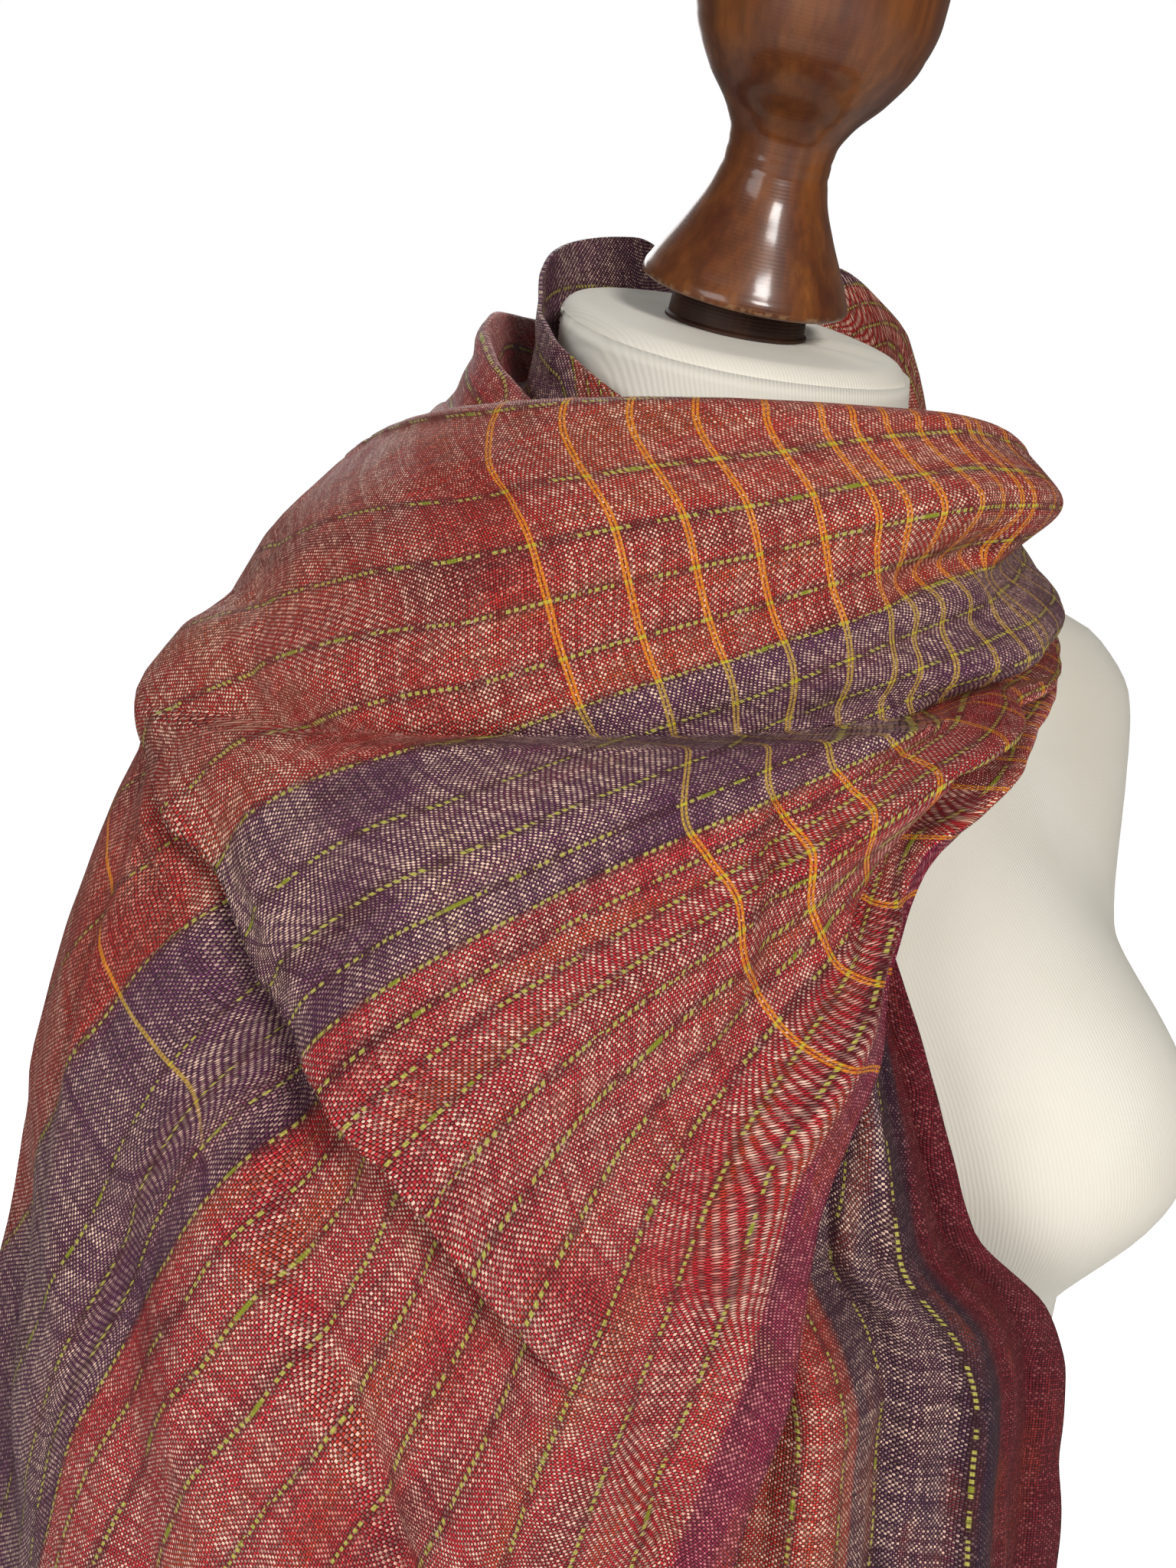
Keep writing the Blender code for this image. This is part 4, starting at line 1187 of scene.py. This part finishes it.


# %% [markdown]
# ### The weave
# In a plain weave each weft thread goes over one warp thread and under the next.  The product of
# two sine waves has the same chequer: where it is positive the weft lies on top, where it is
# negative the warp does, and near zero there is the gap between threads, which the silk colours
# nearly black as painted shade.

# %% The weave group
THREAD_PITCH = 0.00076
THREAD_WOBBLE = 0.35
THREAD_WOBBLE_SCALE = 260.0
THICKNESS_SPREAD = 0.34
WEAVE_OUTPUTS = ("Weft", "Warp", "Height", "Weft thread", "Warp thread", "Crossing")


def make_weave_group():
    """Masks and height of a plain weave from thread coordinates in metres."""
    tree = bpy.data.node_groups.new("Plain weave", "ShaderNodeTree")
    tree.interface.new_socket("Threads", in_out="INPUT", socket_type="NodeSocketVector")
    for label in WEAVE_OUTPUTS:
        tree.interface.new_socket(label, in_out="OUTPUT", socket_type="NodeSocketFloat")
    threads = Wire(tree.nodes.new("NodeGroupInput").outputs["Threads"])
    result = tree.nodes.new("NodeGroupOutput")
    wobble = make_node(tree, "TexNoise", {"Vector": threads, "Scale": THREAD_WOBBLE_SCALE,
                                          "Detail": 1.0})["Color"]
    apart = make_node(tree, "SeparateXYZ", (threads,))
    tint = make_node(tree, "SeparateColor", (wobble,))
    counts = [apart[k] / THREAD_PITCH + (tint[k] - 0.5) * THREAD_WOBBLE for k in (0, 1)]
    waves = [maths("SINE", count * math.pi) for count in counts]
    numbers = [maths("FLOOR", count) for count in counts]
    # Each thread is a little thicker or thinner than its neighbour
    singles = [make_node(tree, "TexWhiteNoise", {"W": number}, noise_dimensions="1D")["Value"]
               for number in numbers]
    cell = make_node(tree, "CombineXYZ", numbers)[0]
    crossing = make_node(tree, "TexWhiteNoise", {"Vector": cell}, noise_dimensions="3D")["Value"]
    product = waves[0] * waves[1] + (singles[0] - singles[1]) * THICKNESS_SPREAD
    height = maths("POWER", maths("ABSOLUTE", product), 0.6)
    made = (product.step(0.08, 0.36), product.step(-0.14, -0.50), height, *singles, crossing)
    for label, value in zip(WEAVE_OUTPUTS, made):
        plug(tree, result.inputs[label], value)
    return tree


weave_group = make_weave_group()

# %% [markdown]
# ### Dyed stripes and single bright threads
# Across the strip lie seven stripes of uneven width.  Within each the dye comes and goes along the
# threads, so soft noise stretched along the warp moves the colour.  Single green warp threads run
# every two centimetres or so, dashed by the weave and by gaps, and pairs of orange weft threads
# cross them near the middle of the strip.  The thread lines keep their width where the cloth is
# bunched, because the distance to each is measured with the cloth's own local stretch.

# %% The silk's dyes
# Place across the cloth in metres where a stripe begins, its warp colour, its weft colour
STRIPES = (
    (0.000, (0.180, 0.008, 0.018), (0.210, 0.022, 0.036)),
    (0.026, (0.036, 0.010, 0.032), (0.110, 0.045, 0.066)),
    (0.046, (0.070, 0.018, 0.056), (0.500, 0.300, 0.300)),
    (0.080, (0.520, 0.024, 0.020), (0.860, 0.360, 0.270)),
    (0.207, (0.130, 0.030, 0.092), (0.700, 0.430, 0.390)),
    (0.297, (0.560, 0.024, 0.034), (0.880, 0.360, 0.310)),
    (0.532, (0.280, 0.016, 0.060), (0.560, 0.110, 0.160)),
)
STRIPE_BLUR = 0.0010
STRIPE_RAGGEDNESS = 0.0016
# Places across the cloth of the green warp threads
GREEN_WARPS = (0.043, 0.066, 0.089, 0.112, 0.135, 0.158, 0.183, 0.207, 0.229, 0.252, 0.274, 0.297,
               0.320, 0.343, 0.367, 0.391, 0.416, 0.440, 0.465, 0.489, 0.513)
GREEN_PER_METRE = 43.5
GREEN_DASH = 0.0165
GREEN_BEAD = 0.00215
# Stations of the orange weft pairs on the outer drape, and of single ones
ORANGE_PAIRS = (0.75, 1.05, 1.30, 1.52, 1.72, 1.91, 1.98, 2.10, 2.26, 2.44, 2.61, 2.77, 3.05, 3.40,
                3.73, 4.07, 4.48)
ORANGE_SINGLES = (-5.35, 7.40)
ORANGE_BEAD = 0.00152
ORANGE_HALF_GAP = 0.00060


def stripe_ramp(value, kind):
    """A colour ramp over the cloth's width that changes quickly where a stripe begins."""
    ramp = value.tree.nodes.new("ShaderNodeValToRGB")
    plug(value.tree, ramp.inputs[0], value / CLOTH_WIDTH)
    stops = ramp.color_ramp.elements
    stops[0].position, stops[0].color = 0.0, (*STRIPES[0][kind], 1.0)
    stops[1].position, stops[1].color = 1.0, (*STRIPES[-1][kind], 1.0)
    for before, after in zip(STRIPES, STRIPES[1:]):
        for side, stripe in ((-STRIPE_BLUR, before), (STRIPE_BLUR, after)):
            stops.new((after[0] + side) / CLOTH_WIDTH).color = (*stripe[kind], 1.0)
    return Wire(ramp.outputs["Color"])


def line_distance(value, places, stretch):
    """Distance in metres to the nearest of the named places."""
    gaps = [maths("ABSOLUTE", value - at) for at in places]
    nearest = gaps[0]
    for gap in gaps[1:]:
        nearest = maths("MINIMUM", nearest, gap)
    return nearest * stretch


def make_silk():
    """Hand-woven, space-dyed silk with green warp dashes and orange weft pairs."""
    material, tree, shader = new_material("silk_weave")
    cloth, threads, stretch = (make_node(tree, "UVMap", uv_map=name)[0]
                               for name in ("Cloth", "Threads", "Stretch"))
    in_cloth, in_threads, in_stretch = (make_node(tree, "SeparateXYZ", (where,))
                                        for where in (cloth, threads, stretch))
    weave = make_node(tree, "Group", {"Threads": threads}, node_tree=weave_group)
    weft, warp, height, weft_thread, warp_thread, crossing = (weave[k] for k in WEAVE_OUTPUTS)
    # A ragged edge where two stripes meet
    ragged = in_cloth["Y"] + (noise(threads, 500.0, 1.0) - 0.5) * STRIPE_RAGGEDNESS
    purple_share = ragged.step(0.2055, 0.2085) * ragged.step(0.2985, 0.2955)
    # The dye comes and goes along the warp: orange-red here, wine there
    warp_dye = noise(cloth, (11.0, 46.0, 1.0), 3.0, 0.55)
    warm_share = warp_dye.step(0.50, 0.70, 0.0, 0.60) * (1.0 - purple_share * 0.75)
    warm = blend_colour(warm_share, stripe_ramp(ragged, 1), (0.520, 0.075, 0.012))
    deep = blend_colour(warp_dye.step(0.48, 0.30, 0.0, 0.60), warm, (0.070, 0.006, 0.016))
    streak = noise(cloth, (22.0, 900.0, 1.0), 2.0, 0.6).step(0.25, 0.75, 0.78, 1.22)
    warp_shade = shaded(deep, streak * warp_thread.step(0.0, 1.0, 0.86, 1.12))
    # The weft is paler silk whose dye changes in bands, so whole wefts are pale or dark
    band = noise(cloth, (20.0, 9.0, 1.0), 3.0, 0.60)
    gold = blend_colour(ragged.step(0.040, 0.050) * band.step(0.56, 0.74, 0.0, 0.45),
                        stripe_ramp(ragged, 2), (0.640, 0.400, 0.150))
    # Painted highlight: single weft crossings take a cream colour that stands for silk glints, with less
    # of it in the dark selvedge bands
    pale = ragged.step(0.040, 0.050, 0.10, 1.0) * ragged.step(0.534, 0.530, 0.25, 1.0)
    bright = weft_thread * 0.35 + crossing * 0.65
    cream = blend_colour(pale * bright.step(0.25, 0.95, 0.05, 0.72), gold, (0.880, 0.620, 0.470))
    dull = blend_colour(band.step(0.52, 0.36, 0.0, 0.62), cream, warp_shade)
    # Dark threads are dark for a few centimetres only, and single crossings differ
    broken = weft_thread + (noise(threads, (500.0, 60.0, 1.0), 2.0, 0.6) - 0.5) * 1.4
    darker = blend_colour(broken.step(0.30, -0.10, 0.0, 0.55), dull, warp_shade)
    weft_shade = shaded(darker, crossing.step(0.0, 1.0, 0.50, 1.30))
    # Painted shade: the gaps between threads are mixed almost to black
    gap = blend_colour(0.88, warp_shade, (0.006, 0.002, 0.004))
    woven = blend_colour(weft, blend_colour(warp, gap, warp_shade), weft_shade)
    # Green warp threads: runs of small beads, with gaps, and a few raised floats
    to_green = line_distance(in_cloth["Y"], GREEN_WARPS, in_stretch["Y"])
    green_line = to_green.step(0.00068, 0.00034)
    line_number = maths("FLOOR", in_cloth["Y"] * GREEN_PER_METRE)
    jitter = noise(make_node(tree, "CombineXYZ", (in_threads["X"] * 30.0, line_number * 7.3))[0], 1.0)
    run = wave(in_threads["X"], GREEN_DASH, jitter * 22.0)
    beads = green_line * run.step(-0.72, -0.60) * wave(in_threads["X"], GREEN_BEAD).step(-0.60, 0.10)
    floats = run.step(0.78, 0.84) * jitter.step(0.56, 0.60)
    green = maths("MAXIMUM", beads, to_green.step(0.00078, 0.00045) * floats)
    green_shade = blend_colour(floats, (0.560, 0.500, 0.110), (0.300, 0.310, 0.030))
    woven = blend_colour(to_green.step(0.0021, 0.0009) * 0.45, woven, (0.050, 0.010, 0.012))
    woven = blend_colour(green, woven, green_shade)
    # Orange wefts: two threads with a dark groove between; single threads are thinner
    station = (in_cloth["X"] - (TAIL_LENGTH + LOOP_LENGTH)) / STATION_LENGTH
    scale = in_stretch["X"] * STATION_LENGTH
    to_pair, to_single = (line_distance(station, places, scale)
                          for places in (ORANGE_PAIRS, ORANGE_SINGLES))
    pair = maths("ABSOLUTE", to_pair - ORANGE_HALF_GAP).step(0.00056, 0.00024)
    one = to_single.step(0.00060, 0.00030) * in_cloth["Y"].step(0.285, 0.240)
    bead = wave(in_threads["Y"], ORANGE_BEAD).step(-0.85, 0.0, 0.45, 1.0)
    orange = maths("MAXIMUM", pair, one) * bead
    orange_shade = blend_colour(purple_share, (0.880, 0.300, 0.020), (0.620, 0.380, 0.070))
    woven = blend_colour(orange, woven, orange_shade)
    woven = blend_colour(orange * green_line, woven, (0.720, 0.560, 0.030))
    # Threads stand up, floats and coloured threads a little more
    relief = height + maths("MAXIMUM", green, orange) * 0.9 + (weft_thread + warp_thread) * 0.25
    finish_shader(shader, woven, relief, 0.80, 0.00050, Roughness=weft.step(0.0, 1.0, 0.62, 0.42),
                  Sheen_Weight=0.03, Sheen_Roughness=0.40, Sheen_Tint=(0.90, 0.55, 0.52, 1.0),
                  Specular_IOR_Level=0.22)
    return material


silk = make_silk()
for item in (under_tail, neck_loop, outer_drape):
    item.data.materials.append(silk)

# %% [markdown]
# ### Jersey
# The cover is a cream cotton jersey with fine ribs that run down the form on a slight slant.  A
# sine wave across the form draws the ribs; soft noise keeps them from looking ruled.

# %% The jersey's material
RIB_PITCH = 0.00115
RIB_SLANT = 0.16


def make_jersey():
    """Matte cream jersey with fine ribs."""
    material, tree, shader = new_material("cream_jersey")
    where = make_node(tree, "TexCoord")["Object"]
    turned = make_node(tree, "Mapping", {0: where, "Rotation": (0.0, RIB_SLANT, 0.0)})[0]
    across = make_node(tree, "SeparateXYZ", (turned,))["X"]
    rib = wave(across, RIB_PITCH, noise(where, 60.0) * 5.0)
    cream = blend_colour(noise(where, 14.0, 3.0).step(0.3, 0.7), (0.76, 0.715, 0.62),
                         (0.82, 0.785, 0.70))
    cream = blend_colour(rib.step(-1.0, 1.0, 0.0, 0.14), cream, (0.58, 0.53, 0.43))
    finish_shader(shader, cream, rib * 0.5 + noise(where, 900.0) * 0.6, 0.30, 0.00025,
                  Roughness=0.85, Sheen_Weight=0.20, Specular_IOR_Level=0.25)
    return material


torso.data.materials.clear()
torso.data.materials.append(make_jersey())

# %% [markdown]
# ### Varnished wood
# The finial is a dark stained hardwood under gloss varnish.  Grain runs along the lathe's axis,
# and the varnish, a clear coat with faint rings, is worn at the rim of the cone.

# %% The wood materials
TOOL_MARK_PITCH = 0.0011
RIM_HEIGHT = 0.0127


def make_wood(name, tilt, dark, light, coat, grain_depth):
    """Stained wood: grain along the axis, tool rings round it."""
    material, tree, shader = new_material(name)
    where = make_node(tree, "TexCoord")["Object"]
    moved = make_node(tree, "Mapping", {0: where, "Location": tuple(-PLATE_CENTRE)})[0]
    local = make_node(tree, "Mapping", {0: moved, "Rotation": (-tilt, 0.0, 0.0)})[0]
    height = make_node(tree, "SeparateXYZ", (local,))["Z"]
    grain = noise(local, (330.0, 330.0, 16.0), 5.0, 0.62)
    figure = noise(local, (60.0, 60.0, 3.0), 3.0, 0.60)
    colour = blend_colour(figure.step(0.28, 0.78), dark, light)
    colour = blend_colour(grain.step(0.40, 0.62, 0.30, 0.0), colour, (0.018, 0.005, 0.002))
    if coat:
        worn = (maths("ABSOLUTE", height - RIM_HEIGHT).step(0.0011, 0.0002)
                * noise(local, 420.0).step(0.50, 0.62))
        colour = blend_colour(worn * 0.6, colour, (0.30, 0.17, 0.08))
    rings = wave(height + noise(local, 30.0) * 0.0006, TOOL_MARK_PITCH)
    finish_shader(shader, colour, rings * 0.35 + grain, grain_depth, 0.00012,
                  Roughness=0.42 if coat else 0.62, Specular_IOR_Level=0.35, Coat_Weight=coat,
                  Coat_Roughness=0.14)
    return material


finial.data.materials.append(make_wood("varnished_wood", FINIAL_TILT, (0.100, 0.022, 0.005),
                                       (0.260, 0.082, 0.014), 0.60, 0.20))
block.data.materials.append(make_wood("bare_wood", NECK_TILT, (0.030, 0.010, 0.005),
                                      (0.085, 0.032, 0.014), 0.0, 0.6))

# %% [markdown]
# ## Floor and light
# A plain pale floor and a white surround.  One soft lamp stands in front of the form, so ridges
# that turn up or away grow dark; a weaker one at its right side and one behind keep the shadows
# open.

# %% Floor, surround and lamps
WHITE = (1.0, 1.0, 1.0, 1.0)
# Name, place, target, size in metres, power in watts, colour
LAMPS = (
    ("soft_key", (-0.20, -1.75, 1.10), (-0.02, 0.0, 0.50), 0.45, 22.5, (1.0, 0.985, 0.955)),
    ("soft_fill", (-1.65, -1.0, 0.8), (-0.05, 0.0, 0.45), 0.9, 12.0, WHITE[:3]),
    ("soft_back", (0.5, 1.5, 1.6), (0.0, 0.0, 0.5), 1.2, 16.0, WHITE[:3]),
)


def make_floor():
    """A wide pale floor under the form, bright where the camera sees it."""
    sheet = bmesh.new()
    bmesh.ops.create_grid(sheet, x_segments=2, y_segments=2, size=6.0)
    item = new_item("floor", sheet)
    item.location = (0.0, 0.0, -0.0005)
    material, tree, shader = new_material("pale_floor")
    seen = make_node(tree, "LightPath")["Is Camera Ray"]
    for label, value in (("Base Color", (0.86, 0.86, 0.85, 1.0)), ("Roughness", 0.9),
                         ("Emission Color", WHITE), ("Emission Strength", seen * 0.95)):
        plug(tree, shader.inputs[label], value)
    item.data.materials.append(material)


def make_lamp(name, place_at, target, size, power, colour):
    """A square soft lamp that faces its target."""
    lamp = bpy.data.objects.new(name, bpy.data.lights.new(name, "AREA"))
    bpy.context.scene.collection.objects.link(lamp)
    lamp.data.shape = "SQUARE"
    lamp.data.size = size
    lamp.data.energy = power
    lamp.data.color = colour
    lamp.location = place_at
    way = Vector(target) - Vector(place_at)
    lamp.rotation_euler = way.to_track_quat("-Z", "Y").to_euler()


def make_surround():
    """White to the camera, a softer grey as light."""
    world = bpy.data.worlds.new("surround")
    bpy.context.scene.world = world
    world.use_nodes = True
    tree = world.node_tree
    tree.nodes.clear()
    seen = make_node(tree, "LightPath")["Is Camera Ray"]
    dim, white = (make_node(tree, "Background", {"Color": WHITE, "Strength": strength})[0]
                  for strength in (0.10, 1.0))
    mixed = make_node(tree, "MixShader", (seen, dim, white))[0]
    make_node(tree, "OutputWorld", {"Surface": mixed})


make_floor()
make_surround()
for lamp_row in LAMPS:
    make_lamp(*lamp_row)
bpy.context.scene.view_settings.view_transform = "Standard"
